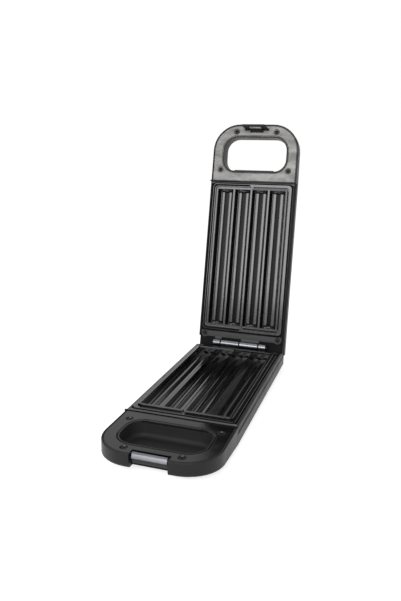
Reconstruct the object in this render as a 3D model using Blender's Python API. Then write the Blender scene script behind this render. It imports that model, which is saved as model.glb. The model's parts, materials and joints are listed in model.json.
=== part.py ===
"""Countertop churro maker, shown open: two grooved plates in a hinged housing with hollow handles.

Each half is drawn in one frame: X to the right, the front at -Y, Z up from the hinge axis, which lies in
the plane where the halves meet. The lid half is the base half turned over about the hinge, then opened.
Lengths are in metres. Distances called "run" count forward from the hinge axis.
"""

import math
from collections import namedtuple

import bmesh
import bpy
from mathutils import Matrix, Vector

# Overall sizes
WIDTH = 0.145
HANDLE_LENGTH = 0.096
HALF_DEPTH = 0.025
FRONT_DEPTH = 0.0164
FACE_DROP = 0.0045
OPEN_ANGLE = math.radians(102.15)
FOOT_HEIGHT = 0.005

# Clearances
GAP = 0.0003
FIT = 0.0002
OVERRUN = 0.005

# Housing of one half
WALL = 0.0025
SIDE_WALL = 0.002
RIM_WIDTH = 0.004
RIM_RISE = 0.0016
RIM_ROUND = 0.002
RIM_LIP = 0.0006
BELT_DEEP = 0.0015
BELT_SHARE = 0.40
BASE_ROUND = 0.0035
REAR_RADIUS = 0.003
INNER_RADIUS = 0.003
POST_RADIUS = 0.004
POST_RUN_SHARES = (0.12, 0.5, 0.88)
PILLAR_RADIUS = 0.0025

# Hinge end
RECESS_DEPTH = 0.0075
REAR_REACH = 0.0113
STOP_PLAY = math.radians(1.0)
RECESS_RUN = 0.0085
BAND_REAR = 0.010
BAND_FRONT = 0.0182
BAND_THICK = 0.0019
BAND_SCREW_INSET = 0.0108
BAND_SCREW_RUN = 0.0136
DECK_THICK = 0.0021
DECK_BOSS_DEPTH = 0.0055
LEAF_THICK = 0.0014
LEAF_INSET = 0.0065
BARREL_RADIUS = 0.0059
PIN_RADIUS = 0.0025
PIN_OVERHANG = 0.0028
KNUCKLE_GAP = 0.0009
LONG_KNUCKLE = 0.0301
KNUCKLE_SPACE = 0.0019
SHORT_KNUCKLE = 0.0112

# Grooved plate
GROOVES = 4
GROOVE_DEPTH = 0.0115
LAND_WIDTH = 0.0034
LAND_DROP = 0.00015
GROOVE_REAR_RUN = 0.031
GROOVE_LENGTH = 0.2254
GROOVE_FRONT = 0.0146
RIDGE_OFFSET = 0.0059
RIDGE_DROP = 0.007
RIDGE_HALF_WIDTH = 0.0032
RIDGE_START = 0.0018
RIDGE_END_SLOPE = 0.0005
GROOVE_END_DRAFT = 0.0008
PLATE_MARGIN = 0.0099
PLATE_GAP = 0.0015
SHELF_DROP = 0.0016
FLANGE_THICK = 0.003
FLANGE_EDGE = 0.0004
PLATE_RADIUS = 0.006
LIP_NARROW = 0.0008
LIP_WIDE = 0.0018
TONGUE_RIB = (0.0014, 0.0042)
WALL_RIB = (0.0047, 0.0081)
RIB_RISE = 0.0013
RIB_CHAMFER = 0.0004
RIB_END_GAP = 0.0016
TUB_WALL = 0.0014
TUB_FLOOR = 0.0025

# Heating parts
ELEMENT_RADIUS = 0.0032
ELEMENT_PIN_RADIUS = 0.0013
ELEMENT_PIN_LENGTH = 0.008
ELEMENT_REAR_INSET = 0.009
ELEMENT_TURN_INSET = 0.028
ELEMENT_FRONT_INSET = 0.008
SHIELD_THICK = 0.0006
SHIELD_RISE = 0.003
SHIELD_SLOPE = 0.0015
SHIELD_RADIUS = 0.008
SHIELD_MARGIN = 0.004
SHIELD_SIDE_MARGIN = 0.0085
THERMOSTAT_RADIUS = 0.008
THERMOSTAT_RUN = 0.15
CUTOUT_RADIUS = 0.006
TAB_SIZE = (0.0012, 0.007, 0.0024)

# Handle
COVER_INSET = 0.0014
COVER_REVEAL = 0.0006
COVER_THICK = 0.0022
COVER_EDGE = 0.0005
COVER_REAR_RADIUS = 0.0015
HANDLE_WALL = 0.003
HANDLE_ROUND = 0.0008
FRONT_RADIUS = 0.044
OPENING_REAR = 0.0178
FRONT_BAR = 0.0221
SIDE_BAR = 0.0196
OPENING_REAR_RADIUS_SHARE = 0.348
OPENING_FRONT_RADIUS_SHARE = 0.392
OPENING_LIP = 0.0008
TUBE_WALL = 0.0022
COLLAR_WALL = 0.0015
COLLAR_GAP = 0.0006
COLLAR_DROP = 0.0002
BAR_PROUD = 0.0012
BAR_DEPTH = 0.006
CUP_ROUND = 0.006
REAR_SCREW_INSET = (0.0147, 0.0194)
FRONT_SCREW_INSET = (0.0386, 0.0125)

# Screws
HEAD_RADIUS = 0.0036
HEAD_DEPTH = 0.0011
HEAD_SINK = 0.0009
SHANK_RADIUS = 0.00145
SHANK_LENGTH = 0.0085
HOLE_RADIUS = 0.0018
HOLE_RIM = 0.0008
CROSS_LENGTH = 0.0044
CROSS_WIDTH = 0.0009
CROSS_DEPTH = 0.0007

# Latch
NOTCH_HALF_WIDTH = 0.0225
NOTCH_LENGTH = 0.0107
NOTCH_WALL = 0.002
NOTCH_LINES = (0.0135, 0.0160)
NOTCH_LINE = (0.0008, 0.0006)
TONGUE_SPACE = 0.0013
TONGUE_THICK = 0.0016
TONGUE_LENGTH = 0.031
TONGUE_WIDTH = 0.039
TONGUE_SHIFT = 0.0005
TONGUE_CHAMFER = 0.002
TONGUE_WINDOW = (0.0100, 0.0036, 0.0205)
TONGUE_HEEL = (0.021, 0.0032, 0.0008)
TONGUE_FLANGE = (0.0045, 0.0018)
FLANGE_RIB = (0.003, 0.013)
CATCH_HALF_WIDTH = 0.0204
CATCH_SPACE = 0.0003
CATCH_RISE = 0.0001
CATCH_AXIS = (0.0014, 0.0016)
CATCH_TOP_LENGTH = 0.0030
CATCH_CHAMFER = 0.0005
CATCH_GROOVE = (0.0010, 0.0006)
CATCH_FRONT = (0.0049, 0.0056)
CATCH_LIP = 0.0007
CATCH_BODY = 0.0018
SKIRT_DEPTH = 0.0113
SKIRT_RIDGES = 3
RIDGE_DEEP = 0.0004
TOOTH_HALF_WIDTH = 0.0092
TOOTH_TIP = (0.0029, 0.0106)
TOOTH_ROOT_DROP = 0.0082
TOOTH_THICK = 0.0007
CATCH_PIN_RADIUS = 0.0008
CATCH_PIN_FIT = 0.00015
CATCH_PIN_REACH = 0.0021

# Base fittings
FOOT_RADIUS = 0.007
FOOT_CHAMFER = 0.001
FOOT_STEM_RADIUS = 0.0022
FOOT_HEAD_RADIUS = 0.0034
FOOT_HEAD_HEIGHT = 0.0014
FOOT_SIDE_INSET = 0.0205
FOOT_REAR_RUN = 0.014
FOOT_FRONT_INSET = 0.016
CORD_BUSH_INSET = 0.0225
CORD_BUSH_DROP = 0.0213
CORD_BUSH_RADIUS = 0.0038
CORD_BUSH_FLANGE = 0.0052
CORD_BUSH_REACH = 0.009
CORD_BORE = 0.0026
BLOCK_SIZE = (0.034, 0.009, 0.009)
BLOCK_SPACE = 0.021
BLOCK_RUN = 0.0085
BLOCK_BORE = 0.0019
BLOCK_WAYS = 3

# Facets
ARC_STEPS = 3
CORNER_STEPS = 4
FRONT_STEPS = 11
OPENING_STEPS = 7
GROOVE_STEPS = 20
TUB_STEPS = 6
SCREW_STEPS = 10
POST_STEPS = 8
BARREL_STEPS = 20
TUBE_STEPS = 6
BEND_STEPS = 6

# Places worked out from the sizes above
FACE = -FACE_DROP
RIM_TOP = FACE + RIM_RISE
STOP_SLOPE = math.tan((OPEN_ANGLE + STOP_PLAY) / 2)
REAR_FACE = REAR_REACH + BELT_DEEP
HALF_WIDTH = WIDTH / 2
FLOOR = FACE - HALF_DEPTH
GROOVE_FRONT_RUN = GROOVE_REAR_RUN + GROOVE_LENGTH
SEAM_RUN = GROOVE_FRONT_RUN + GROOVE_FRONT
BAND_SCREW_X = HALF_WIDTH - BAND_SCREW_INSET
LEAF_HALF_WIDTH = HALF_WIDTH - LEAF_INSET
BAND_TOP = RIM_TOP
LEAF_TOP = BAND_TOP - BAND_THICK - GAP
LEAF_BOTTOM = LEAF_TOP - LEAF_THICK
DECK_TOP = LEAF_BOTTOM - GAP
DECK_BOTTOM = -RECESS_DEPTH - DECK_THICK
LAND = -LAND_DROP
SHELF = -SHELF_DROP
FLANGE_BOTTOM = SHELF - FLANGE_THICK
PLATE_HALF_WIDTH = HALF_WIDTH - RIM_WIDTH - PLATE_GAP
ARRAY_HALF_WIDTH = PLATE_HALF_WIDTH - PLATE_MARGIN
PITCH = (2 * ARRAY_HALF_WIDTH + LAND_WIDTH) / GROOVES
GROOVE_WIDTH = PITCH - LAND_WIDTH
PLATE_FRONT_RUN = GROOVE_FRONT_RUN + PLATE_MARGIN
PLATE_REAR_RUN = GROOVE_REAR_RUN - PLATE_MARGIN
TUB_BOTTOM = LAND - GROOVE_DEPTH - TUB_FLOOR
ELEMENT_Z = TUB_BOTTOM - GAP - ELEMENT_RADIUS
SHIELD_TOP = ELEMENT_Z - ELEMENT_RADIUS - GAP
SHIELD_BOTTOM = SHIELD_TOP - SHIELD_THICK
SHIELD_HALF_WIDTH = PLATE_HALF_WIDTH - SHIELD_SIDE_MARGIN
COVER_BOTTOM = FACE - COVER_THICK
SEAT_TOP = COVER_BOTTOM - GAP
OPENING_FRONT = HANDLE_LENGTH - FRONT_BAR
OPENING_HALF_WIDTH = HALF_WIDTH - SIDE_BAR
OPENING_REAR_RADIUS = OPENING_REAR_RADIUS_SHARE * (OPENING_FRONT - OPENING_REAR)
OPENING_FRONT_RADIUS = OPENING_FRONT_RADIUS_SHARE * (OPENING_FRONT - OPENING_REAR)
BAR_HALF_WIDTH = OPENING_HALF_WIDTH - OPENING_REAR_RADIUS - FIT
NOTCH_REAR = HANDLE_LENGTH - NOTCH_LENGTH
TONGUE_REAR = NOTCH_REAR + TONGUE_SPACE
CATCH_REAR = TONGUE_REAR + TONGUE_THICK + CATCH_SPACE
FOOT_X = HALF_WIDTH - FOOT_SIDE_INSET
FOOT_FRONT_RUN = SEAM_RUN - FOOT_FRONT_INSET
CORD_BUSH_X = CORD_BUSH_INSET - HALF_WIDTH
BLOCK_X = CORD_BUSH_X + BLOCK_SPACE

Rect = namedtuple("Rect", "x0 x1 rear front rear_radius front_radius")


def clear_scene():
    for obj in list(bpy.data.objects):
        bpy.data.objects.remove(obj, do_unlink=True)


# Shape helpers
def depth_at(run):
    """Depth of a half below its face: even to the seam, then tapering to the front of the handle."""
    along = max(0.0, run - SEAM_RUN) / HANDLE_LENGTH
    return HALF_DEPTH + (FRONT_DEPTH - HALF_DEPTH) * along


def arc(centre_x, centre_y, radius, start, end, steps):
    """Points on an arc, both ends included. Angles are in degrees."""
    turn = [math.radians(start + (end - start) * i / steps) for i in range(steps + 1)]
    return [(centre_x + radius * math.cos(a), centre_y + radius * math.sin(a)) for a in turn]


def outline(rect, inset=0.0, rear_steps=CORNER_STEPS, front_steps=CORNER_STEPS):
    """Rounded rectangle in plan, drawn in by inset, anticlockwise from its right front corner."""
    x0, x1 = rect.x0 + inset, rect.x1 - inset
    y0, y1 = -rect.front + inset, -rect.rear - inset
    front = max(rect.front_radius - inset, GAP)
    rear = max(rect.rear_radius - inset, GAP)
    return (
        arc(x1 - front, y0 + front, front, -90, 0, front_steps)
        + arc(x1 - rear, y1 - rear, rear, 0, 90, rear_steps)
        + arc(x0 + rear, y1 - rear, rear, 90, 180, rear_steps)
        + arc(x0 + front, y0 + front, front, 180, 270, front_steps)
    )


def even(half_width, rear, front, radius=INNER_RADIUS):
    return Rect(-half_width, half_width, rear, front, radius, radius)


def add_mesh(name, bm):
    bmesh.ops.recalc_face_normals(bm, faces=bm.faces[:])
    mesh = bpy.data.meshes.new(name)
    bm.to_mesh(mesh)
    bm.free()
    obj = bpy.data.objects.new(name, mesh)
    bpy.context.scene.collection.objects.link(obj)
    return obj


def skin_rings(bm, rings, closed=False):
    """Joins rings of equal counts with faces and caps the ends, or joins the last ring to the first."""
    rows = [[bm.verts.new(point) for point in ring] for ring in rings]
    pairs = list(zip(rows, rows[1:]))
    if closed:
        pairs.append((rows[-1], rows[0]))
    else:
        bm.faces.new(rows[0])
        bm.faces.new(rows[-1])
    for low, high in pairs:
        count = len(low)
        for i in range(count):
            bm.faces.new((low[i], low[(i + 1) % count], high[(i + 1) % count], high[i]))


def rings_object(name, rings, closed=False):
    bm = bmesh.new()
    skin_rings(bm, rings, closed)
    return add_mesh(name, bm)


def layers(name, rect, rows, rear_steps=CORNER_STEPS, front_steps=CORNER_STEPS):
    """Solid from rows of (inset, height), each an outline of the rectangle."""
    rings = []
    for inset, height in rows:
        points = outline(rect, inset, rear_steps, front_steps)
        rings.append([(x, y, height) for x, y in points])
    return rings_object(name, rings)


def prism(name, points, low, high):
    """Plan outline of (x, y) raised from low to high."""
    return rings_object(name, [[(x, y, z) for x, y in points] for z in (low, high)])


def bar(name, profile, x0, x1):
    """Side profile of (run, height) carried from x0 to x1."""
    return rings_object(name, [[(x, -run, z) for run, z in profile] for x in (x0, x1)])


def box(name, x0, x1, rear, front, low, high):
    return prism(name, [(x0, -front), (x1, -front), (x1, -rear), (x0, -rear)], low, high)


def turned(name, profile, centre, steps, axis="Z"):
    """Solid turned from (radius, height) rows, about an axis through the centre."""
    rings = []
    for radius, height in profile:
        ring = []
        for i in range(steps):
            a = 2 * math.pi * i / steps
            u, v = radius * math.cos(a), radius * math.sin(a)
            offset = {"Z": (u, v, height), "X": (height, u, v), "Y": (u, height, v)}[axis]
            ring.append(tuple(c + o for c, o in zip(centre, offset)))
        rings.append(ring)
    return rings_object(name, rings)


def cylinder(name, radius, low, high, centre, steps=POST_STEPS, axis="Z"):
    return turned(name, [(radius, low), (radius, high)], centre, steps, axis)


def merge_islands(name, pieces):
    """One object from pieces that don't touch, for use in a single Boolean."""
    bm = bmesh.new()
    for piece in pieces:
        bm.from_mesh(piece.data)
        bpy.data.objects.remove(piece, do_unlink=True)
    return add_mesh(name, bm)


def weld(mesh):
    """Merges the doubled vertices that a Boolean can leave where its edges all but meet."""
    bm = bmesh.new()
    bm.from_mesh(mesh)
    bmesh.ops.remove_doubles(bm, verts=bm.verts[:], dist=GAP / 100)
    bm.to_mesh(mesh)
    bm.free()


def boolean(target, other, operation):
    modifier = target.modifiers.new(operation.title(), "BOOLEAN")
    modifier.operation = operation
    modifier.solver = "EXACT"
    modifier.object = other
    graph = bpy.context.evaluated_depsgraph_get()
    mesh = bpy.data.meshes.new_from_object(target.evaluated_get(graph))
    target.modifiers.clear()
    weld(mesh)
    target.data = mesh
    bpy.data.objects.remove(other, do_unlink=True)


def cut(target, *cutters):
    for cutter in cutters:
        boolean(target, cutter, "DIFFERENCE")


def join(target, *pieces):
    for piece in pieces:
        boolean(target, piece, "UNION")


def chamfer_top(obj, height, size):
    """Chamfers the edges of the face that lies at this height."""
    bm = bmesh.new()
    bm.from_mesh(obj.data)
    top = [e for e in bm.edges if all(abs(v.co.z - height) < FIT / 2 for v in e.verts)]
    bmesh.ops.bevel(bm, geom=top, offset=size, segments=1, affect="EDGES")
    bmesh.ops.recalc_face_normals(bm, faces=bm.faces[:])
    bm.to_mesh(obj.data)
    bm.free()


# Housing around the plate
def shell_rows(rise, rounding, belted):
    """Side profile of a shell, from its rim down to its floor, as (inset, share of the depth, offset)."""
    rows = []
    for i in range(ARC_STEPS + 1):
        a = math.radians(90 * i / ARC_STEPS)
        rows.append((rounding * (1 - math.sin(a)), 0, rise - rounding * (1 - math.cos(a))))
    if belted:
        low = rise - rounding - RIM_LIP
        rows.append((0, 0, low))
        rows.append((BELT_DEEP, 0, low - BELT_DEEP))
        rows.append((BELT_DEEP, BELT_SHARE, BELT_DEEP))
        rows.append((0, BELT_SHARE, 0))
    for i in range(ARC_STEPS + 1):
        a = math.radians(90 * i / ARC_STEPS)
        rows.append((BASE_ROUND * (1 - math.cos(a)), 1, BASE_ROUND * (1 - math.sin(a))))
    return rows


def shell_solid(name, rect, rows, front_steps):
    rings = []
    for inset, share, offset in rows:
        points = outline(rect, inset, CORNER_STEPS, front_steps)
        rings.append([(x, y, FACE - share * depth_at(-y) + offset) for x, y in points])
    return rings_object(name, rings)


def trim_at_seam(obj, run, keep_front):
    bm = bmesh.new()
    bm.from_mesh(obj.data)
    geom = bm.verts[:] + bm.edges[:] + bm.faces[:]
    normal = (0, 1, 0) if keep_front else (0, -1, 0)
    result = bmesh.ops.bisect_plane(
        bm, geom=geom, plane_co=(0, -run, 0), plane_no=normal, clear_outer=True, dist=GAP / 100
    )
    edges = [e for e in result["geom_cut"] if isinstance(e, bmesh.types.BMEdge)]
    bmesh.ops.contextual_create(bm, geom=edges)
    bmesh.ops.recalc_face_normals(bm, faces=bm.faces[:])
    bm.to_mesh(obj.data)
    bm.free()


def plate_posts():
    """Posts on the housing floor that carry the plate's flange, and pillars that carry the heat shield."""
    pieces = []
    centre_x = PLATE_HALF_WIDTH - POST_RADIUS + GAP
    for share in POST_RUN_SHARES:
        run = PLATE_REAR_RUN + share * (PLATE_FRONT_RUN - PLATE_REAR_RUN)
        for x in (-centre_x, centre_x):
            top = FLANGE_BOTTOM - GAP
            pieces.append(cylinder("post", POST_RADIUS, FLOOR + WALL / 2, top, (x, -run, 0)))
        for x in (-PITCH, PITCH):
            top = SHIELD_BOTTOM - GAP
            pieces.append(cylinder("pillar", PILLAR_RADIUS, FLOOR + WALL / 2, top, (x, -run, 0)))
    return merge_islands("posts", pieces)


def deck_bosses():
    low = DECK_BOTTOM - DECK_BOSS_DEPTH
    high = DECK_BOTTOM + DECK_THICK / 2
    places = [(x, -BAND_SCREW_RUN, 0) for x in (-BAND_SCREW_X, BAND_SCREW_X)]
    return merge_islands("bosses", [cylinder("boss", POST_RADIUS, low, high, at) for at in places])


def rear_wedge(drop):
    """Space above the slanted faces on which the open halves rest against each other, lowered by drop."""
    reach = REAR_FACE + OVERRUN
    rise = reach * STOP_SLOPE
    over = HALF_WIDTH + OVERRUN
    return bar("wedge", [(-reach, -rise - drop), (reach, rise - drop), (-reach, rise - drop)], -over, over)


def screw_holes(places, top, reach):
    pieces = [cylinder("hole", SHANK_RADIUS + FIT, top - reach, top, at) for at in places]
    return merge_islands("screw holes", pieces)


def housing(name):
    front = SEAM_RUN - GAP / 2
    rect = Rect(-HALF_WIDTH, HALF_WIDTH, -REAR_FACE, SEAM_RUN + OVERRUN, REAR_RADIUS, REAR_RADIUS)
    body = shell_solid(name, rect, shell_rows(RIM_RISE, RIM_ROUND, True), CORNER_STEPS)
    trim_at_seam(body, front, keep_front=False)
    inner = HALF_WIDTH - BELT_DEEP - SIDE_WALL
    chamber = even(inner, WALL - REAR_REACH, front - SIDE_WALL)
    floor_rows = [(INNER_RADIUS / 2, FLOOR + WALL), (0, FLOOR + WALL + INNER_RADIUS / 2), (0, DECK_BOTTOM)]
    hollow = layers("chamber", chamber, floor_rows)
    cut(hollow, rear_wedge(WALL / math.cos((OPEN_ANGLE + STOP_PLAY) / 2)))
    cut(body, hollow)
    well_half = HALF_WIDTH - RIM_WIDTH
    well = even(well_half, PLATE_REAR_RUN - PLATE_GAP, PLATE_FRONT_RUN + PLATE_GAP, PLATE_RADIUS)
    cut(body, layers("well", well, [(0, DECK_BOTTOM - WALL), (0, OVERRUN)]))
    over = HALF_WIDTH + OVERRUN
    cut(body, box("recess", -over, over, -REAR_FACE - OVERRUN, RECESS_RUN, -RECESS_DEPTH, OVERRUN))
    cut(body, rear_wedge(0))
    seat = box("seat", -well_half, well_half, RECESS_RUN - OVERRUN, BAND_FRONT + GAP, DECK_TOP, OVERRUN)
    cut(body, seat)
    join(body, plate_posts(), deck_bosses())
    places = [(x, -BAND_SCREW_RUN, 0) for x in (-BAND_SCREW_X, BAND_SCREW_X)]
    cut(body, screw_holes(places, DECK_TOP + OVERRUN, SHANK_LENGTH + OVERRUN))
    return body


def base_housing():
    body = housing("base_housing")
    holes = [
        cylinder("foot hole", FOOT_STEM_RADIUS + GAP, FLOOR - OVERRUN, FLOOR + WALL + GAP, (x, -run, 0))
        for x, run in foot_places()
    ]
    cut(body, merge_islands("foot holes", holes))
    centre = (CORD_BUSH_X, REAR_FACE, -CORD_BUSH_DROP)
    cut(body, cylinder("cord hole", CORD_BUSH_RADIUS + GAP, -OVERRUN, OVERRUN, centre, SCREW_STEPS, "Y"))
    return body


# Grooved plate
def groove_centres():
    return [(i - (GROOVES - 1) / 2) * PITCH for i in range(GROOVES)]


def groove_section(ridged, inset):
    """Half-round section of a groove as (x, height). Two rounded ridges part it into three flutes."""
    half = GROOVE_WIDTH / 2 - inset
    points = [(half, OVERRUN)]
    for i in range(GROOVE_STEPS + 1):
        a = math.pi * i / GROOVE_STEPS
        x = half * math.cos(a)
        depth = (GROOVE_DEPTH - inset) * math.sin(a)
        reach = abs(abs(x) - RIDGE_OFFSET) / RIDGE_HALF_WIDTH
        if ridged and reach < 1:
            depth -= (depth - RIDGE_DROP) * math.cos(reach * reach * math.pi / 2) ** 2
        points.append((x, LAND - depth))
    points.append((-half, OVERRUN))
    return points


def groove_cutter(centre):
    """Square-ended groove whose ridges start a little way in from each end."""
    start, end = GROOVE_REAR_RUN, GROOVE_FRONT_RUN
    inner = RIDGE_START + RIDGE_END_SLOPE
    stations = [
        (start, False, GROOVE_END_DRAFT),
        (start + GROOVE_END_DRAFT, False, 0),
        (start + RIDGE_START, False, 0),
        (start + inner, True, 0),
        (end - inner, True, 0),
        (end - RIDGE_START, False, 0),
        (end - GROOVE_END_DRAFT, False, 0),
        (end, False, GROOVE_END_DRAFT),
    ]
    rings = []
    for run, ridged, inset in stations:
        rings.append([(centre + x, -run, z) for x, z in groove_section(ridged, inset)])
    return rings_object("groove", rings)


def groove_tub(centre):
    """Underside of one groove, a wall thicker than the groove itself."""
    half = GROOVE_WIDTH / 2 + TUB_WALL
    deep = LAND - TUB_BOTTOM
    section = [(half, FLANGE_BOTTOM + FLANGE_THICK / 2)]
    for i in range(1, TUB_STEPS):
        a = math.pi * i / TUB_STEPS
        section.append((half * math.cos(a), min(LAND - deep * math.sin(a), section[0][1])))
    section.append((-half, FLANGE_BOTTOM + FLANGE_THICK / 2))
    runs = (GROOVE_REAR_RUN - TUB_FLOOR, GROOVE_FRONT_RUN + TUB_FLOOR)
    return rings_object("tub", [[(centre + x, -run, z) for x, z in section] for run in runs])


def half_loop(name, side, margins, low, high):
    """Rib of C shape round one side of the grooves, between two margins from their edge."""
    paths = []
    for margin in margins:
        x1 = ARRAY_HALF_WIDTH + margin
        front, rear = GROOVE_FRONT_RUN + margin, GROOVE_REAR_RUN - margin
        radius = margin
        path = [(RIB_END_GAP, -front)]
        path += arc(x1 - radius, -front + radius, radius, -90, 0, CORNER_STEPS)
        path += arc(x1 - radius, -rear - radius, radius, 0, 90, CORNER_STEPS)
        path.append((RIB_END_GAP, -rear))
        paths.append(path)
    points = [(side * x, y) for x, y in paths[1] + paths[0][::-1]]
    rib = prism(name, points, low, high)
    chamfer_top(rib, high, RIB_CHAMFER)
    return rib


def island(name, x0, x1, margin, height):
    rect = Rect(x0, x1, GROOVE_REAR_RUN - margin, GROOVE_FRONT_RUN + margin, margin, margin)
    return layers(name, rect, [(0, FLANGE_BOTTOM + FLANGE_THICK / 2), (0, height)])


def grooved_plate(name):
    """Plate with fluted grooves, a tongue rib on one side and a wall rib on the other."""
    rect = even(PLATE_HALF_WIDTH, PLATE_REAR_RUN, PLATE_FRONT_RUN, PLATE_RADIUS)
    rows = [
        (FLANGE_EDGE, FLANGE_BOTTOM),
        (0, FLANGE_BOTTOM + FLANGE_EDGE),
        (0, SHELF - FLANGE_EDGE),
        (FLANGE_EDGE, SHELF),
    ]
    plate = layers(name, rect, rows)
    narrow = ARRAY_HALF_WIDTH + LIP_NARROW
    join(plate, island("land", -narrow, narrow, LIP_NARROW, LAND))
    join(plate, island("lip", -ARRAY_HALF_WIDTH - LIP_WIDE, -RIB_END_GAP, LIP_WIDE, LAND))
    inside = FLANGE_BOTTOM + FLANGE_THICK / 2
    join(plate, half_loop("tongue rib", -1, TONGUE_RIB, inside, RIB_RISE))
    join(plate, half_loop("wall rib", 1, WALL_RIB, inside, RIB_RISE))
    join(plate, merge_islands("tubs", [groove_tub(x) for x in groove_centres()]))
    cut(plate, merge_islands("grooves", [groove_cutter(x) for x in groove_centres()]))
    return plate


# Heating parts
def element_path():
    """Route of the heater under the four grooves as (x, run), with a turn at each end of its legs."""
    rear = GROOVE_REAR_RUN + ELEMENT_REAR_INSET
    turn = GROOVE_REAR_RUN + ELEMENT_TURN_INSET
    front = GROOVE_FRONT_RUN - ELEMENT_FRONT_INSET - PITCH / 2
    path = [(groove_centres()[0], rear)]
    for index, x in enumerate(groove_centres()[:-1]):
        if index % 2 == 0:
            path += arc(x + PITCH / 2, front, PITCH / 2, 180, 0, BEND_STEPS)
        else:
            path += arc(x + PITCH / 2, turn, PITCH / 2, 180, 360, BEND_STEPS)
    return path + [(groove_centres()[-1], rear)]


def element_stations():
    """Points of the heater's route as (point, direction, radius), with a thin terminal pin at each end."""
    path = [Vector(point) for point in element_path()]
    forward = Vector((0, 1))
    pin = forward * ELEMENT_PIN_LENGTH
    first, last = path[0], path[-1]
    stations = [(first - pin, forward, ELEMENT_PIN_RADIUS), (first, forward, ELEMENT_PIN_RADIUS)]
    stations.append((first, forward, ELEMENT_RADIUS))
    for behind, point, ahead in zip(path, path[1:], path[2:]):
        stations.append((point, (ahead - behind).normalized(), ELEMENT_RADIUS))
    stations.append((last, -forward, ELEMENT_RADIUS))
    stations += [(last, -forward, ELEMENT_PIN_RADIUS), (last - pin, -forward, ELEMENT_PIN_RADIUS)]
    return stations


def heating_element(name):
    rings = []
    for point, along, radius in element_stations():
        ring = []
        for k in range(TUBE_STEPS):
            a = 2 * math.pi * k / TUBE_STEPS
            offset = radius * math.cos(a)
            x, run = point.x + offset * along.y, point.y - offset * along.x
            ring.append((x, -run, ELEMENT_Z + radius * math.sin(a)))
        rings.append(ring)
    return rings_object(name, rings)


def heat_shield(name):
    rear, front = PLATE_REAR_RUN + SHIELD_MARGIN, PLATE_FRONT_RUN - SHIELD_MARGIN
    rect = even(SHIELD_HALF_WIDTH, rear, front, SHIELD_RADIUS)
    rows = [
        (SHIELD_THICK + SHIELD_SLOPE, SHIELD_TOP),
        (SHIELD_THICK, SHIELD_TOP + SHIELD_RISE),
        (0, SHIELD_TOP + SHIELD_RISE),
        (SHIELD_SLOPE, SHIELD_BOTTOM),
    ]
    return layers(name, rect, rows)


def heat_switch(name, radius):
    """Round bimetal switch between the middle grooves and the shield, with two flat tabs."""
    low, high = SHIELD_TOP + GAP, TUB_BOTTOM - GAP
    switch = cylinder(name, radius, low, high, (0, -THERMOSTAT_RUN, 0), BARREL_STEPS)
    thick, length, height = TAB_SIZE
    middle = (low + high) / 2
    tabs = box(
        "tabs",
        -thick / 2,
        thick / 2,
        THERMOSTAT_RUN - radius - length,
        THERMOSTAT_RUN + radius + length,
        middle - height / 2,
        middle + height / 2,
    )
    join(switch, tabs)
    return switch


# Handle
def handle_rect(inset=0.0):
    """Plan of the handle from well behind the seam to the front, drawn in by inset."""
    front = SEAM_RUN + HANDLE_LENGTH - inset
    half = HALF_WIDTH - inset
    return Rect(-half, half, SEAM_RUN - OVERRUN, front, GAP, FRONT_RADIUS - inset)


def opening_rect(margin=0.0):
    """Plan of the finger opening, let out by margin."""
    return Rect(
        -OPENING_HALF_WIDTH - margin,
        OPENING_HALF_WIDTH + margin,
        SEAM_RUN + OPENING_REAR - margin,
        SEAM_RUN + OPENING_FRONT + margin,
        OPENING_REAR_RADIUS + margin,
        OPENING_FRONT_RADIUS + margin,
    )


def opening_solid(margin, low, high):
    return layers("opening", opening_rect(margin), [(0, low), (0, high)], OPENING_STEPS, OPENING_STEPS)


def finger_cup():
    """Hollow of the base's finger recess: closed below by a floor with a rounded edge."""
    rows = []
    for i in range(ARC_STEPS + 1):
        a = math.radians(90 * i / ARC_STEPS)
        rows.append((CUP_ROUND * (1 - math.sin(a)), 1, WALL + CUP_ROUND * (1 - math.cos(a))))
    rows.append((0, 0, OVERRUN))
    rings = []
    for inset, share, offset in rows:
        points = outline(opening_rect(), inset, OPENING_STEPS, OPENING_STEPS)
        rings.append([(x, y, FACE - share * depth_at(-y) + offset) for x, y in points])
    return rings_object("cup", rings)


def opening_bar():
    """Flat bar that thickens the collar along the opening's rear edge."""
    rear = SEAM_RUN + OPENING_REAR - COLLAR_WALL - FIT
    front = SEAM_RUN + OPENING_REAR + BAR_PROUD
    return box("bar", -BAR_HALF_WIDTH, BAR_HALF_WIDTH, rear, front, FACE - BAR_DEPTH, FACE)


def cover_screw_places():
    rear_x = HALF_WIDTH - REAR_SCREW_INSET[0]
    rear_y = -SEAM_RUN - REAR_SCREW_INSET[1]
    front_x = HALF_WIDTH - FRONT_SCREW_INSET[0]
    front_y = -SEAM_RUN - HANDLE_LENGTH + FRONT_SCREW_INSET[1]
    return [(-rear_x, rear_y, 0), (rear_x, rear_y, 0), (-front_x, front_y, 0), (front_x, front_y, 0)]


def notch(margin):
    """Notch at the front of the base handle, where the catch lies."""
    half = NOTCH_HALF_WIDTH + margin
    rear = SEAM_RUN + NOTCH_REAR - margin
    return box("notch", -half, half, rear, SEAM_RUN + HANDLE_LENGTH + OVERRUN, FLOOR - OVERRUN, OVERRUN)


def notch_lines():
    """Shallow moulded lines across the wall behind the catch."""
    high, deep = NOTCH_LINE
    half = NOTCH_HALF_WIDTH - NOTCH_WALL
    rear = SEAM_RUN + NOTCH_REAR
    lines = []
    for drop in NOTCH_LINES:
        low = FACE - drop - high / 2
        lines.append(box("line", -half, half, rear - deep, rear + deep, low, low + high))
    return merge_islands("lines", lines)


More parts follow.
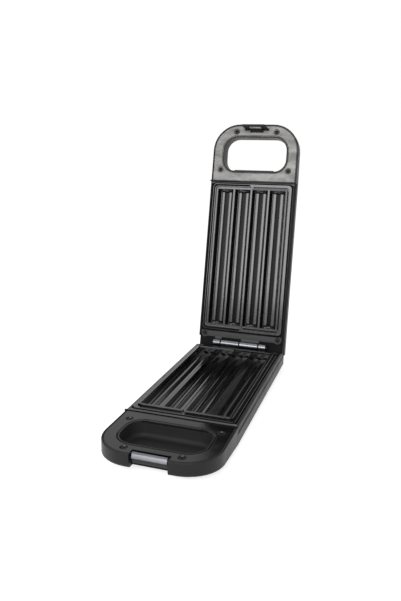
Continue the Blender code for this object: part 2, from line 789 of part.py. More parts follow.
def handle_cavity(notched):
    """Hollow of the handle shell, less the tube round the opening and the notch's walls."""
    rect = handle_rect(HANDLE_WALL)._replace(rear=SEAM_RUN + GAP / 2 + SIDE_WALL, rear_radius=INNER_RADIUS)
    rings = []
    for share, offset in ((1, WALL), (0, OVERRUN)):
        points = outline(rect, 0, CORNER_STEPS, FRONT_STEPS)
        rings.append([(x, y, FACE - share * depth_at(-y) + offset) for x, y in points])
    cavity = rings_object("cavity", rings)
    cut(cavity, opening_solid(TUBE_WALL, FLOOR - OVERRUN, OVERRUN * 2))
    if notched:
        cut(cavity, notch(NOTCH_WALL))
    return cavity


def screw_posts():
    pieces = []
    for x, y, _ in cover_screw_places():
        low = FACE - depth_at(-y) + WALL / 2
        pieces.append(cylinder("post", POST_RADIUS, low, SEAT_TOP, (x, y, 0)))
    return pieces


def flange_ribs():
    """Two ribs on the lid's handle floor that hold the tongue's foot against the cover."""
    width, length = FLANGE_RIB
    run = SEAM_RUN + TONGUE_REAR + TONGUE_THICK / 2
    top = SEAT_TOP - TONGUE_FLANGE[1] - GAP
    ribs = []
    for side in (-1, 1):
        x = -TONGUE_SHIFT + side * TONGUE_WIDTH / 4
        low = FACE - depth_at(run) + WALL / 2
        ribs.append(box("rib", x - width / 2, x + width / 2, run - length / 2, run + length / 2, low, top))
    return ribs


def handle_shell(name, notched):
    shell = shell_solid(name, handle_rect(), shell_rows(0, HANDLE_ROUND, False), FRONT_STEPS)
    trim_at_seam(shell, SEAM_RUN + GAP / 2, keep_front=True)
    cut(shell, handle_cavity(notched))
    seat = handle_rect(COVER_INSET)
    cut(shell, layers("seat", seat, [(0, SEAT_TOP), (0, OVERRUN)], CORNER_STEPS, FRONT_STEPS))
    join(shell, opening_solid(COLLAR_WALL, SEAT_TOP - TUBE_WALL / 2, FACE - COLLAR_DROP))
    cut(shell, finger_cup() if notched else opening_solid(0, FLOOR - OVERRUN, OVERRUN))
    join(shell, opening_bar())
    if notched:
        cut(shell, notch(0), notch_lines())
    pieces = screw_posts() if notched else screw_posts() + flange_ribs()
    join(shell, merge_islands("posts", pieces))
    cut(shell, screw_holes(cover_screw_places(), SEAT_TOP + OVERRUN, SHANK_LENGTH + OVERRUN))
    return shell


def countersinks(places, top, bottom):
    """Screw holes with a sunk, coned mouth."""
    profile = [
        (HOLE_RADIUS, bottom - OVERRUN),
        (HOLE_RADIUS, top - HEAD_SINK - HEAD_DEPTH),
        (HEAD_RADIUS + GAP, top - HEAD_SINK - FIT),
        (HEAD_RADIUS + HOLE_RIM, top),
        (HEAD_RADIUS + HOLE_RIM, top + OVERRUN),
    ]
    return merge_islands("holes", [turned("hole", profile, at, SCREW_STEPS) for at in places])


def handle_cover(name):
    rect = handle_rect(COVER_INSET + COVER_REVEAL)
    rect = rect._replace(rear=SEAM_RUN + GAP, rear_radius=COVER_REAR_RADIUS)
    rows = [(0, COVER_BOTTOM), (0, FACE - COVER_EDGE), (COVER_EDGE, FACE)]
    cover = layers(name, rect, rows, CORNER_STEPS, FRONT_STEPS)
    lip = [
        (0, COVER_BOTTOM - OVERRUN),
        (0, FACE - OPENING_LIP),
        (-OPENING_LIP, FACE),
        (-OPENING_LIP, FACE + OVERRUN),
    ]
    hole = opening_rect(COLLAR_WALL + COLLAR_GAP)
    cut(cover, layers("opening", hole, lip, OPENING_STEPS, OPENING_STEPS))
    cut(cover, countersinks(cover_screw_places(), FACE, COVER_BOTTOM))
    return cover


def base_cover():
    cover = handle_cover("base_handle_cover")
    cut(cover, notch(0))
    reach = NOTCH_HALF_WIDTH + CATCH_PIN_REACH + GAP
    bore = CATCH_PIN_RADIUS + CATCH_PIN_FIT
    cut(cover, cylinder("pin seat", bore, -reach, reach, catch_axis(), axis="X"))
    return cover


def lid_cover():
    cover = handle_cover("lid_handle_cover")
    low, high = COVER_BOTTOM - OVERRUN, FACE + OVERRUN
    slot = tongue_blank("slot", GAP, low, high)
    cut(cover, slot)
    return cover


# Latch
def tongue_blank(name, margin, low, high):
    """Plan of the tongue where it passes the cover: the plate with its heel, let out by margin."""
    half = TONGUE_WIDTH / 2 + margin
    heel = TONGUE_HEEL[0] / 2 + margin
    rear = SEAM_RUN + TONGUE_REAR
    heel_y = -rear + TONGUE_HEEL[1] + margin
    rear_y = -rear + margin
    front_y = -rear - TONGUE_THICK - margin
    plan = [
        (-half, front_y),
        (half, front_y),
        (half, rear_y),
        (heel, rear_y),
        (heel, heel_y),
        (-heel, heel_y),
        (-heel, rear_y),
        (-half, rear_y),
    ]
    return prism(name, [(x - TONGUE_SHIFT, y) for x, y in plan], low, high)


def latch_tongue():
    """Plate on the lid's handle that the catch holds through its window."""
    tongue = tongue_blank("lid_latch_tongue", 0, SEAT_TOP - TONGUE_FLANGE[1] / 2, FACE + TONGUE_HEEL[2])
    half = TONGUE_WIDTH / 2
    rear = SEAM_RUN + TONGUE_REAR
    front = rear + TONGUE_THICK
    tip = FACE + TONGUE_LENGTH
    edge = [(-half, FACE), (half, FACE), (half, tip - TONGUE_CHAMFER), (half - TONGUE_CHAMFER, tip)]
    edge += [(TONGUE_CHAMFER - half, tip), (-half, tip - TONGUE_CHAMFER)]
    faces = [[(x - TONGUE_SHIFT, -run, z) for x, z in edge] for run in (rear, front)]
    join(tongue, rings_object("plate", faces))
    reach, thick = TONGUE_FLANGE
    x0, x1 = -TONGUE_SHIFT - half, -TONGUE_SHIFT + half
    join(tongue, box("foot", x0, x1, rear - reach, front + reach, SEAT_TOP - thick, SEAT_TOP))
    wide, low, high = TONGUE_WINDOW
    cut(tongue, box("window", -wide, wide, rear - OVERRUN, front + OVERRUN, FACE + low, FACE + high))
    return tongue


def catch_axis():
    return (0, -SEAM_RUN - CATCH_REAR - CATCH_AXIS[0], FACE - CATCH_AXIS[1])


def catch_profile():
    """Side profile of the catch: top bar, a groove, then a face that falls forward to the finger lip."""
    rear, top = CATCH_REAR, CATCH_RISE
    top_front = rear + CATCH_TOP_LENGTH
    drop, deep = CATCH_GROOVE
    front, low = rear + CATCH_FRONT[0], CATCH_FRONT[1]
    return [
        (rear, -drop),
        (rear + CATCH_CHAMFER, top),
        (top_front, top),
        (top_front + CATCH_CHAMFER, top - CATCH_CHAMFER),
        (top_front + CATCH_CHAMFER - deep, -drop),
        (top_front + CATCH_CHAMFER, -drop - deep),
        (front, -low + CATCH_LIP),
        (front, -low),
        (front - CATCH_LIP, -low - CATCH_LIP),
        *skirt_face(),
        (rear, -SKIRT_DEPTH),
    ]


def skirt_face():
    """Ridged front of the skirt under the lip, from the top down."""
    front = CATCH_REAR + CATCH_FRONT[0] - CATCH_BODY
    top = CATCH_FRONT[1] + CATCH_LIP
    pitch = (SKIRT_DEPTH - top) / SKIRT_RIDGES
    points = [(front, -top)]
    for i in range(SKIRT_RIDGES):
        high = top + pitch * i
        points.append((front, -high - pitch / 2))
        points.append((front - RIDGE_DEEP, -high - pitch / 2))
        points.append((front - RIDGE_DEEP, -high - pitch))
        points.append((front, -high - pitch))
    return points[:-1]


def tooth_profile():
    """Tooth that reaches back from the skirt through the tongue's window."""
    tip, low = CATCH_REAR - TOOTH_TIP[0], TOOTH_TIP[1]
    inside = CATCH_REAR + RIDGE_DEEP
    return [
        (inside, -low - TOOTH_THICK / 2),
        (tip + TOOTH_THICK, -low - TOOTH_THICK / 2),
        (tip, -low),
        (CATCH_REAR, -TOOTH_ROOT_DROP),
        (inside, -TOOTH_ROOT_DROP),
    ]


def latch_catch():
    half = CATCH_HALF_WIDTH
    at_face = [(SEAM_RUN + run, FACE + z) for run, z in catch_profile()]
    catch = bar("base_catch", at_face, -half, half)
    at_face = [(SEAM_RUN + run, FACE + z) for run, z in tooth_profile()]
    join(catch, bar("tooth", at_face, -TOOTH_HALF_WIDTH, TOOTH_HALF_WIDTH))
    bore = CATCH_PIN_RADIUS + CATCH_PIN_FIT
    cut(catch, cylinder("bore", bore, -half - OVERRUN, half + OVERRUN, catch_axis(), axis="X"))
    return catch


def catch_pin():
    reach = NOTCH_HALF_WIDTH + CATCH_PIN_REACH
    return cylinder("base_catch_pin", CATCH_PIN_RADIUS, -reach, reach, catch_axis(), axis="X")


# Hinge
def knuckle_spans():
    """Spans of one leaf's knuckles along X. The other leaf, turned over, fills the spans between."""
    long_end = -KNUCKLE_GAP - LONG_KNUCKLE
    short_start = KNUCKLE_GAP + LONG_KNUCKLE + KNUCKLE_SPACE
    return [(long_end, -KNUCKLE_GAP), (short_start, short_start + SHORT_KNUCKLE)]


def hinge_leaf(name):
    rear, front = RECESS_RUN + GAP, BAND_FRONT - GAP
    leaf = box(name, -LEAF_HALF_WIDTH, LEAF_HALF_WIDTH, rear, front, LEAF_BOTTOM, LEAF_TOP)
    for x0, x1 in knuckle_spans():
        join(leaf, box("strap", x0, x1, 0, RECESS_RUN + 2 * GAP, LEAF_BOTTOM, LEAF_TOP))
        join(leaf, cylinder("knuckle", BARREL_RADIUS, x0, x1, (0, 0, 0), BARREL_STEPS, "X"))
    cut(leaf, cylinder("bore", PIN_RADIUS + FIT, -WIDTH, WIDTH, (0, 0, 0), SCREW_STEPS, "X"))
    holes = [
        cylinder("hole", HOLE_RADIUS, LEAF_BOTTOM - OVERRUN, LEAF_TOP + OVERRUN, (x, -BAND_SCREW_RUN, 0))
        for x in (-BAND_SCREW_X, BAND_SCREW_X)
    ]
    cut(leaf, merge_islands("holes", holes))
    return leaf


def hinge_pin():
    end = knuckle_spans()[1][1] + PIN_OVERHANG
    tip = PIN_RADIUS / 2
    profile = [(tip, -end), (PIN_RADIUS, -end + tip), (PIN_RADIUS, end - tip), (tip, end)]
    return turned("hinge_pin", profile, (0, 0, 0), SCREW_STEPS, "X")


def rear_band(name):
    """Strip over the hinge leaf, with a round boss at each end for its screw."""
    half = HALF_WIDTH - RIM_WIDTH - GAP
    boss = half - BAND_SCREW_X
    swing = math.degrees(math.asin((BAND_SCREW_RUN - BAND_REAR) / boss))
    right = arc(BAND_SCREW_X, -BAND_SCREW_RUN, boss, 0, 180 - swing, CORNER_STEPS * 2)
    left = [(-x, y) for x, y in right[::-1]]
    points = [(-half, -BAND_FRONT), (half, -BAND_FRONT)] + right + left
    band = prism(name, points, BAND_TOP - BAND_THICK, BAND_TOP)
    places = [(x, -BAND_SCREW_RUN, 0) for x in (-BAND_SCREW_X, BAND_SCREW_X)]
    cut(band, countersinks(places, BAND_TOP + HEAD_SINK / 2, BAND_TOP - BAND_THICK))
    return band


# Screws and feet
def screw(name, place, top):
    """Countersunk cross-head screw with its head's top at this height."""
    profile = [
        (SHANK_RADIUS, -HEAD_DEPTH - SHANK_LENGTH),
        (SHANK_RADIUS, -HEAD_DEPTH),
        (HEAD_RADIUS, -FIT),
        (HEAD_RADIUS - FIT, 0),
    ]
    x, y, _ = place
    piece = turned(name, profile, (x, y, top), SCREW_STEPS)
    long, wide = CROSS_LENGTH / 2, CROSS_WIDTH / 2
    cross = box("cross", x - long, x + long, -y - wide, -y + wide, top - CROSS_DEPTH, top + OVERRUN)
    join(cross, box("cross", x - wide, x + wide, -y - long, -y + long, top - CROSS_DEPTH, top + OVERRUN))
    cut(piece, cross)
    return piece


def foot_places():
    return [(side * FOOT_X, run) for run in (FOOT_REAR_RUN, FOOT_FRONT_RUN) for side in (-1, 1)]


def foot(name, x, run):
    """Rubber foot with a stem through the floor and a head that holds it."""
    top = FLOOR + WALL + GAP
    profile = [
        (FOOT_RADIUS - FOOT_CHAMFER, FLOOR - FOOT_HEIGHT),
        (FOOT_RADIUS, FLOOR - FOOT_HEIGHT + FOOT_CHAMFER),
        (FOOT_RADIUS, FLOOR - GAP),
        (FOOT_STEM_RADIUS, FLOOR - GAP),
        (FOOT_STEM_RADIUS, top),
        (FOOT_HEAD_RADIUS, top),
        (FOOT_STEM_RADIUS, top + FOOT_HEAD_HEIGHT),
    ]
    return turned(name, profile, (x, -run, 0), SCREW_STEPS)


# Mains inlet
def cord_bush():
    """Flanged bush in the rear wall where the mains lead comes in."""
    inner = -BELT_DEEP - WALL - GAP - CORD_BUSH_RADIUS / 2
    shoulder = GAP + CORD_BUSH_RADIUS / 2
    profile = [
        (CORD_BORE, inner),
        (CORD_BUSH_RADIUS, inner),
        (CORD_BUSH_RADIUS, GAP),
        (CORD_BUSH_FLANGE, GAP),
        (CORD_BUSH_FLANGE, shoulder),
        (CORD_BUSH_RADIUS, shoulder),
        (CORD_BUSH_RADIUS - FOOT_CHAMFER, CORD_BUSH_REACH),
        (CORD_BORE, CORD_BUSH_REACH),
    ]
    centre = (CORD_BUSH_X, REAR_FACE, -CORD_BUSH_DROP)
    bush = turned("cord_bush", profile, centre, SCREW_STEPS, "Y")
    bore = cylinder("bore", CORD_BORE, inner - OVERRUN, CORD_BUSH_REACH + OVERRUN, centre, SCREW_STEPS, "Y")
    cut(bush, bore)
    return bush


def terminal_block():
    length, wide, high = BLOCK_SIZE
    low = FLOOR + WALL + GAP
    x0, rear = BLOCK_X - length / 2, BLOCK_RUN - wide / 2
    block = box("terminal_block", x0, x0 + length, rear, rear + wide, low, low + high)
    bores = []
    for i in range(BLOCK_WAYS):
        x = x0 + length * (i + 1 / 2) / BLOCK_WAYS
        centre = (x, -BLOCK_RUN, low + high / 2)
        bores.append(cylinder("bore", BLOCK_BORE, -OVERRUN * 2, OVERRUN * 2, centre, axis="Y"))
    cut(block, merge_islands("bores", bores))
    return block


# Finish of each piece
COLOURS = {
    "black_shell": ((0.012, 0.012, 0.013, 1), 0.0, 0.38),
    "light_cover": ((0.40, 0.39, 0.37, 1), 0.0, 0.45),
    "dark_cover": ((0.055, 0.056, 0.058, 1), 0.0, 0.45),
    "coated_plate": ((0.015, 0.015, 0.017, 1), 0.2, 0.25),
    "bright_steel": ((0.72, 0.72, 0.74, 1), 1.0, 0.18),
    "silver_grey": ((0.50, 0.51, 0.54, 1), 0.6, 0.35),
    "satin_band": ((0.035, 0.036, 0.040, 1), 0.0, 0.40),
    "black_screw": ((0.020, 0.020, 0.020, 1), 0.8, 0.35),
    "plain_steel": ((0.45, 0.45, 0.46, 1), 1.0, 0.35),
    "shield_sheet": ((0.60, 0.61, 0.62, 1), 1.0, 0.30),
    "black_rubber": ((0.018, 0.018, 0.018, 1), 0.0, 0.75),
    "switch_plastic": ((0.30, 0.24, 0.16, 1), 0.0, 0.50),
}


def paint(obj, slot):
    colour, metallic, roughness = COLOURS[slot]
    material = bpy.data.materials.new(obj.name)
    material.use_nodes = True
    shader = material.node_tree.nodes["Principled BSDF"]
    shader.inputs["Base Color"].default_value = colour
    shader.inputs["Metallic"].default_value = metallic
    shader.inputs["Roughness"].default_value = roughness
    material.diffuse_color = colour
    obj.data.materials.clear()
    obj.data.materials.append(material)


def smooth(obj, degrees=32):
    obj.data.shade_smooth()
    obj.data.set_sharp_from_angle(angle=math.radians(degrees))


# Placing the halves
def half_pieces(side, cover, shell):
    """The pieces that both halves have, as (object, finish)."""
    pieces = [
        (shell, "black_shell"),
        (cover, "dark_cover" if side == "base" else "light_cover"),
        (handle_shell(side + "_handle_shell", side == "base"), "black_shell"),
        (grooved_plate(side + "_plate"), "coated_plate"),
        (heating_element(side + "_heating_element"), "plain_steel"),
        (heat_shield(side + "_heat_shield"), "shield_sheet"),
        (rear_band(side + "_rear_band"), "satin_band"),
        (hinge_leaf(side + "_hinge_leaf"), "bright_steel"),
    ]
    for i, place in enumerate(cover_screw_places()):
        pieces.append((screw(f"{side}_cover_screw_{i + 1}", place, FACE - HEAD_SINK), "black_screw"))
    for i, x in enumerate((-BAND_SCREW_X, BAND_SCREW_X)):
        place = (x, -BAND_SCREW_RUN, 0)
        pieces.append((screw(f"{side}_band_screw_{i + 1}", place, BAND_TOP - HEAD_SINK / 2), "black_screw"))
    return pieces


def base_pieces():
    pieces = half_pieces("base", base_cover(), base_housing())
    pieces += [
        (heat_switch("thermostat", THERMOSTAT_RADIUS), "switch_plastic"),
        (terminal_block(), "switch_plastic"),
        (cord_bush(), "black_rubber"),
        (hinge_pin(), "plain_steel"),
        (catch_pin(), "plain_steel"),
    ]
    for i, (x, run) in enumerate(foot_places()):
        pieces.append((foot(f"foot_{i + 1}", x, run), "black_rubber"))
    return pieces


def lid_pieces():
    pieces = half_pieces("lid", lid_cover(), housing("lid_housing"))
    pieces += [
        (heat_switch("lid_thermal_cutout", CUTOUT_RADIUS), "switch_plastic"),
        (latch_tongue(), "black_shell"),
    ]
    return pieces


def move_origin(obj, point):
    obj.data.transform(Matrix.Translation(-Vector(point)))
    obj.location = Vector(point)


def centre_on_floor(objects):
    """Moves everything so that the open machine stands on Z = 0, with its extents centred on X and Y."""
    bpy.context.view_layer.update()
    points = [obj.matrix_world @ vertex.co for obj in objects for vertex in obj.data.vertices]
    low = Vector([min(p[i] for p in points) for i in range(3)])
    high = Vector([max(p[i] for p in points) for i in range(3)])
    shift = Vector((-(low.x + high.x) / 2, -(low.y + high.y) / 2, -low.z))
    for obj in objects:
        obj.location += shift
    return shift


def build():
    clear_scene()
    base = base_pieces()
    lid = lid_pieces()
    catch = latch_catch()
    for obj, slot in base + lid + [(catch, "silver_grey")]:
        paint(obj, slot)
        smooth(obj)
    for obj, _ in lid:
        obj.rotation_euler = (OPEN_ANGLE, math.pi, 0)
    move_origin(catch, catch_axis())
    shift = centre_on_floor([obj for obj, _ in base + lid] + [catch])
    print("hinge axis at", [round(v, 6) for v in shift])
    print("catch axis at", [round(v, 6) for v in shift + Vector(catch_axis())])


build()
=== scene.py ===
"""Looks of the open churro maker, in metres, in the same frame as its CAD: X right, Y to the hinge, Z up."""

import json
import math

import bpy
import bmesh
from mathutils import Euler, Matrix, Vector

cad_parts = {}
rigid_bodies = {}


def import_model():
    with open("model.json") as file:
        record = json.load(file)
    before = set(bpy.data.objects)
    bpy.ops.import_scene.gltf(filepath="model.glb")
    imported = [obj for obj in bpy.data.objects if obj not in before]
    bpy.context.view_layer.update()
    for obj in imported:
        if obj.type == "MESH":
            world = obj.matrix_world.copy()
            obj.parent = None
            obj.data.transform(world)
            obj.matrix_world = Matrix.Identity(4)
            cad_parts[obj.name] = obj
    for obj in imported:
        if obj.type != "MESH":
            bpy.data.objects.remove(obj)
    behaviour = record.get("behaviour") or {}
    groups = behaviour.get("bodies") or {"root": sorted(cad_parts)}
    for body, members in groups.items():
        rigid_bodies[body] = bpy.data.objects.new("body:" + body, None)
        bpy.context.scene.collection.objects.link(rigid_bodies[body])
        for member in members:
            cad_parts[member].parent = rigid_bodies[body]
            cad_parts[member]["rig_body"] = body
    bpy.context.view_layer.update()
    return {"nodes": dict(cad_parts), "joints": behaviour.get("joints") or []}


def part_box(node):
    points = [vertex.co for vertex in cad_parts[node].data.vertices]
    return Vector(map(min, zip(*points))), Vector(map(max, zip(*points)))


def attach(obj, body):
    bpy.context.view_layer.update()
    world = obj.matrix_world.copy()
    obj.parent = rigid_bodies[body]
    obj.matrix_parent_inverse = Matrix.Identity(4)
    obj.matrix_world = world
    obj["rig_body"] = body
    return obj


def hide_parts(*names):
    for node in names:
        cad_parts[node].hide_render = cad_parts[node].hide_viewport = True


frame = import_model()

scene = bpy.context.scene
scene.view_settings.view_transform = "Standard"

# Camera fitted to the photograph's outlines
PHOTO_WIDTH, PHOTO_HEIGHT = 401, 601
FOCAL_PX = 576.068
CENTRE_PX = (220.04, 259.99)
CAMERA_AT = Vector((0.231585, -0.742459, 0.348694))
YAW, PITCH, ROLL = (math.radians(a) for a in (16.957, -10.763, 0.963))
SENSOR = 36.0
CLIP_START = 0.01


def make_camera():
    forward = Vector((-math.sin(YAW) * math.cos(PITCH), math.cos(YAW) * math.cos(PITCH), math.sin(PITCH)))
    right = forward.cross(Vector((0, 0, 1))).normalized()
    up = right.cross(forward)
    x_axis = right * math.cos(ROLL) + up * math.sin(ROLL)
    y_axis = up * math.cos(ROLL) - right * math.sin(ROLL)
    data = bpy.data.cameras.new("camera")
    data.sensor_fit = "AUTO"
    data.sensor_width = SENSOR
    data.lens = FOCAL_PX * SENSOR / PHOTO_HEIGHT
    data.shift_x = (PHOTO_WIDTH / 2 - CENTRE_PX[0]) / PHOTO_HEIGHT
    data.shift_y = (CENTRE_PX[1] - PHOTO_HEIGHT / 2) / PHOTO_HEIGHT
    data.clip_start = CLIP_START
    camera = bpy.data.objects.new("camera", data)
    scene.collection.objects.link(camera)
    rotation = Matrix((x_axis, y_axis, -forward)).transposed().to_4x4()
    camera.matrix_world = Matrix.Translation(CAMERA_AT) @ rotation
    scene.camera = camera


# Node helpers
MIX_FACTOR, MIX_FIRST, MIX_SECOND, MIX_RESULT = 0, 6, 7, 2  # the Mix node's sockets for colour
BEVEL_SAMPLES = 6
WEAR_RADIUS = 0.0006
WEAR_TURN = (0.95, 0.60)  # cosines of the turn between two normals at which wear starts and is full
BUMP_DEPTH = 0.0001


def add(tree, kind, **settings):
    node = tree.nodes.new(kind)
    for name, value in settings.items():
        setattr(node, name, value)
    return node


def link(tree, source, target):
    tree.links.new(source, target)


def new_material(name):
    material = bpy.data.materials.new(name)
    material.use_nodes = True
    tree = material.node_tree
    return material, tree, tree.nodes["Principled BSDF"]


def object_coords(tree):
    return add(tree, "ShaderNodeTexCoord").outputs["Object"]


def noise(tree, coords, scale, detail=3.0, roughness=0.55, stretch=None):
    source = coords
    if stretch is not None:
        mapping = add(tree, "ShaderNodeMapping")
        mapping.inputs["Scale"].default_value = stretch
        link(tree, coords, mapping.inputs["Vector"])
        source = mapping.outputs["Vector"]
    node = add(tree, "ShaderNodeTexNoise")
    node.inputs["Scale"].default_value = scale
    node.inputs["Detail"].default_value = detail
    node.inputs["Roughness"].default_value = roughness
    link(tree, source, node.inputs["Vector"])
    return node.outputs["Fac"]


def remap(tree, value, low, high, to_low, to_high):
    node = add(tree, "ShaderNodeMapRange")
    node.inputs["From Min"].default_value = low
    node.inputs["From Max"].default_value = high
    node.inputs["To Min"].default_value = to_low
    node.inputs["To Max"].default_value = to_high
    link(tree, value, node.inputs["Value"])
    return node.outputs["Result"]


def ramp(tree, value, stops):
    """Colour ramp of two stops."""
    node = add(tree, "ShaderNodeValToRGB")
    for element, (position, colour) in zip(node.color_ramp.elements, stops):
        element.position = position
        element.color = (*colour, 1)
    link(tree, value, node.inputs["Fac"])
    return node.outputs["Color"]


def mix(tree, factor, first, second):
    node = add(tree, "ShaderNodeMix", data_type="RGBA")
    for index, value in ((MIX_FACTOR, factor), (MIX_FIRST, first), (MIX_SECOND, second)):
        if isinstance(value, bpy.types.NodeSocket):
            link(tree, value, node.inputs[index])
        else:
            node.inputs[index].default_value = value
    return node.outputs[MIX_RESULT]


def worn_edges(tree):
    """1 on convex edges, 0 on flat faces, from how far a bevelled normal turns from the plain one."""
    bevel = add(tree, "ShaderNodeBevel", samples=BEVEL_SAMPLES)
    bevel.inputs["Radius"].default_value = WEAR_RADIUS
    geometry = add(tree, "ShaderNodeNewGeometry")
    dot = add(tree, "ShaderNodeVectorMath", operation="DOT_PRODUCT")
    link(tree, bevel.outputs["Normal"], dot.inputs[0])
    link(tree, geometry.outputs["Normal"], dot.inputs[1])
    return remap(tree, dot.outputs["Value"], *WEAR_TURN, 0, 1)


def bump(tree, shader, height, strength, radius=0):
    node = add(tree, "ShaderNodeBump")
    node.inputs["Strength"].default_value = strength
    node.inputs["Distance"].default_value = BUMP_DEPTH
    link(tree, height, node.inputs["Height"])
    if radius:
        bevel = add(tree, "ShaderNodeBevel", samples=BEVEL_SAMPLES)
        bevel.inputs["Radius"].default_value = radius
        link(tree, bevel.outputs["Normal"], node.inputs["Normal"])
    link(tree, node.outputs["Normal"], shader.inputs["Normal"])


# Shapes are made as a half that lies open like the base: X right, -Y from the hinge, Z up from its axis.
# A run is a distance from the hinge towards the handle.
HINGE = next(joint for joint in frame["joints"] if joint["name"] == "lid_hinge")
HINGE_AT = Vector(HINGE["pos_m"])
OPEN_ANGLE = math.radians(HINGE["range_deg"][1])
HALVES = {
    "base": Matrix.Translation(HINGE_AT),
    "lid": Matrix.Translation(HINGE_AT) @ Euler((OPEN_ANGLE, math.pi, 0)).to_matrix().to_4x4(),
}
PIECES = {}
SECOND, THIRD, FOURTH = 1, 2, 3  # places in a piece's list of materials
FACE = -0.0045
SEAM_RUN = 0.271
HALF_WIDTH = 0.0725
WELD = 0.000003


def half_of(node):
    """Half that a node's name starts with."""
    return node.split("_")[0]


def arc(centre_x, centre_y, radius, start, end, steps):
    """Points on an arc, both ends included. Angles are in degrees."""
    turn = [math.radians(start + (end - start) * i / steps) for i in range(steps + 1)]
    return [(centre_x + radius * math.cos(a), centre_y + radius * math.sin(a)) for a in turn]


def outline(x0, x1, rear, front, radius, steps):
    """Rounded rectangle in plan, anticlockwise from its right front corner."""
    y0, y1 = -front, -rear
    return (
        arc(x1 - radius, y0 + radius, radius, -90, 0, steps)
        + arc(x1 - radius, y1 - radius, radius, 0, 90, steps)
        + arc(x0 + radius, y1 - radius, radius, 90, 180, steps)
        + arc(x0 + radius, y0 + radius, radius, 180, 270, steps)
    )


def rings_mesh(rings):
    """Closed solid through rings of equal counts."""
    bm = bmesh.new()
    rows = [[bm.verts.new(point) for point in ring] for ring in rings]
    bm.faces.new(rows[0])
    bm.faces.new(rows[-1])
    for low, high in zip(rows, rows[1:]):
        for i in range(len(low)):
            k = (i + 1) % len(low)
            bm.faces.new((low[i], low[k], high[k], high[i]))
    bmesh.ops.recalc_face_normals(bm, faces=bm.faces[:])
    mesh = bpy.data.meshes.new("shape")
    bm.to_mesh(mesh)
    bm.free()
    return mesh


def loose(mesh):
    """Object of a mesh that isn't a named piece yet."""
    obj = bpy.data.objects.new("shape", mesh)
    scene.collection.objects.link(obj)
    return obj


def applied(obj):
    """Mesh of an object with its modifiers applied and removed."""
    made = bpy.data.meshes.new_from_object(obj.evaluated_get(bpy.context.evaluated_depsgraph_get()))
    obj.modifiers.clear()
    return made


def combine(target, mesh, operation):
    """Boolean of a mesh into an object, with the doubled vertices it can leave merged."""
    other = loose(mesh)
    modifier = target.modifiers.new("combine", "BOOLEAN")
    modifier.operation = operation
    modifier.solver = "EXACT"
    modifier.object = other
    made = applied(target)
    bm = bmesh.new()
    bm.from_mesh(made)
    bmesh.ops.remove_doubles(bm, verts=bm.verts[:], dist=WELD)
    bm.to_mesh(made)
    bm.free()
    target.data = made
    bpy.data.objects.remove(other, do_unlink=True)


def island_mesh(meshes):
    """One mesh from meshes that don't touch."""
    bm = bmesh.new()
    for mesh in meshes:
        bm.from_mesh(mesh)
    made = bpy.data.meshes.new("islands")
    bm.to_mesh(made)
    bm.free()
    return made


def shade_by_angle(mesh, degrees):
    """Smooth faces, with the edges sharper than the angle kept crisp."""
    bm = bmesh.new()
    bm.from_mesh(mesh)
    limit = math.radians(degrees)
    for face in bm.faces:
        face.smooth = True
    for edge in bm.edges:
        edge.smooth = len(edge.link_faces) == 2 and edge.calc_face_angle(0) < limit
    bm.to_mesh(mesh)
    bm.free()


def even_normals(obj):
    """Normals weighted by face area, so that flats stay flat beside their rounded edges."""
    modifier = obj.modifiers.new("normals", "WEIGHTED_NORMAL")
    modifier.keep_sharp = True
    obj.data = applied(obj)


def finish_piece(obj, name, half, slot, *nodes):
    """Names a shape, moves its mesh into place on a half, and lets it stand for its CAD nodes."""
    obj.name = name
    obj.data.name = name
    obj.data.transform(HALVES[half])
    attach(obj, half)
    if nodes:
        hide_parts(*nodes)
    PIECES[name] = obj


# Grooved plates
PLATE_HALF, PLATE_REAR, PLATE_FRONT, PLATE_CORNER = 0.067, 0.0211, 0.2663, 0.006
# Insets and heights of the plate's side, from its underside up
PLATE_ROWS = ((0.0004, -0.0046), (0, -0.0042), (0, -0.0023), (0.00012, -0.00185), (0.0005, -0.0016))
PLATE_CRISP = 32
CORNER_STEPS = 8
INSIDE = -0.0031  # foot of what is joined to the top of the plate
GROOVES = 4
GROOVE_PITCH = 0.0294
GROOVE_HALF = 0.013
GROOVE_DEEP = 0.0115
GROOVE_REAR, GROOVE_FRONT = 0.031, 0.2564
GROOVE_RIM = 0.0004
RIM_ANGLES = (78, 55, 30, 8)
CUTTER_TOP = 0.004
BOWL_POWER = 2.6
# Where a groove's section has its points, from the lip to the middle line
BOWL_AT = [0.01299, 0.0128, 0.0125, 0.0120, 0.0114, 0.0108, 0.0103, 0.0099, 0.0096, 0.0093, 0.0090]
BOWL_AT += [0.0087, 0.0084, 0.0082, 0.0078, 0.0072, 0.0066, 0.0059, 0.0052, 0.0046, 0.0040, 0.0036]
BOWL_AT += [0.0034, 0.00315, 0.0030, 0.0027, 0.0022, 0.0016, 0.0009, 0]
RIDGE_AT, RIDGE_DROP, RIDGE_HALF = 0.0060, 0.0069, 0.0026
RIDGE_CROWN, RIDGE_FLANK = 0.026, 2.6
FLUTE_HALF, FLUTE_TOP, FLUTE_DEEP, FLUTE_SOFT = 0.0032, 0.0076, 0.0037, 0.06
END_LIP = [(-0.00035, 0.0001, 0), (-0.0002, 0.0002, 0), (0, 0.0004, 0)]  # way in, depth, share of the ridges
END_DRAFT = 0.00015
END_FILLET = 0.0012
END_STEPS = 5
FADE_FROM, FADE_STEP = 0.0026, 0.0004
LAND = -0.00015
LAND_ROUNDING, LAND_ROUNDING_STEPS, LAND_CORNER_STEPS = 0.00036, 3, 6
LAND_MARGIN, RIB_LAND_MARGIN = 0.0008, 0.0018
TUB_TOP = -0.0034
TUB_HALF, TUB_DEEP, TUB_STEPS = GROOVE_HALF + 0.0013, 0.014, 24
TUB_ENDS = ((0.0285, 0.9), (0.0295, 1), (0.2579, 1), (0.2589, 0.9))  # run and share of the depth
ARRAY_HALF = 0.0571
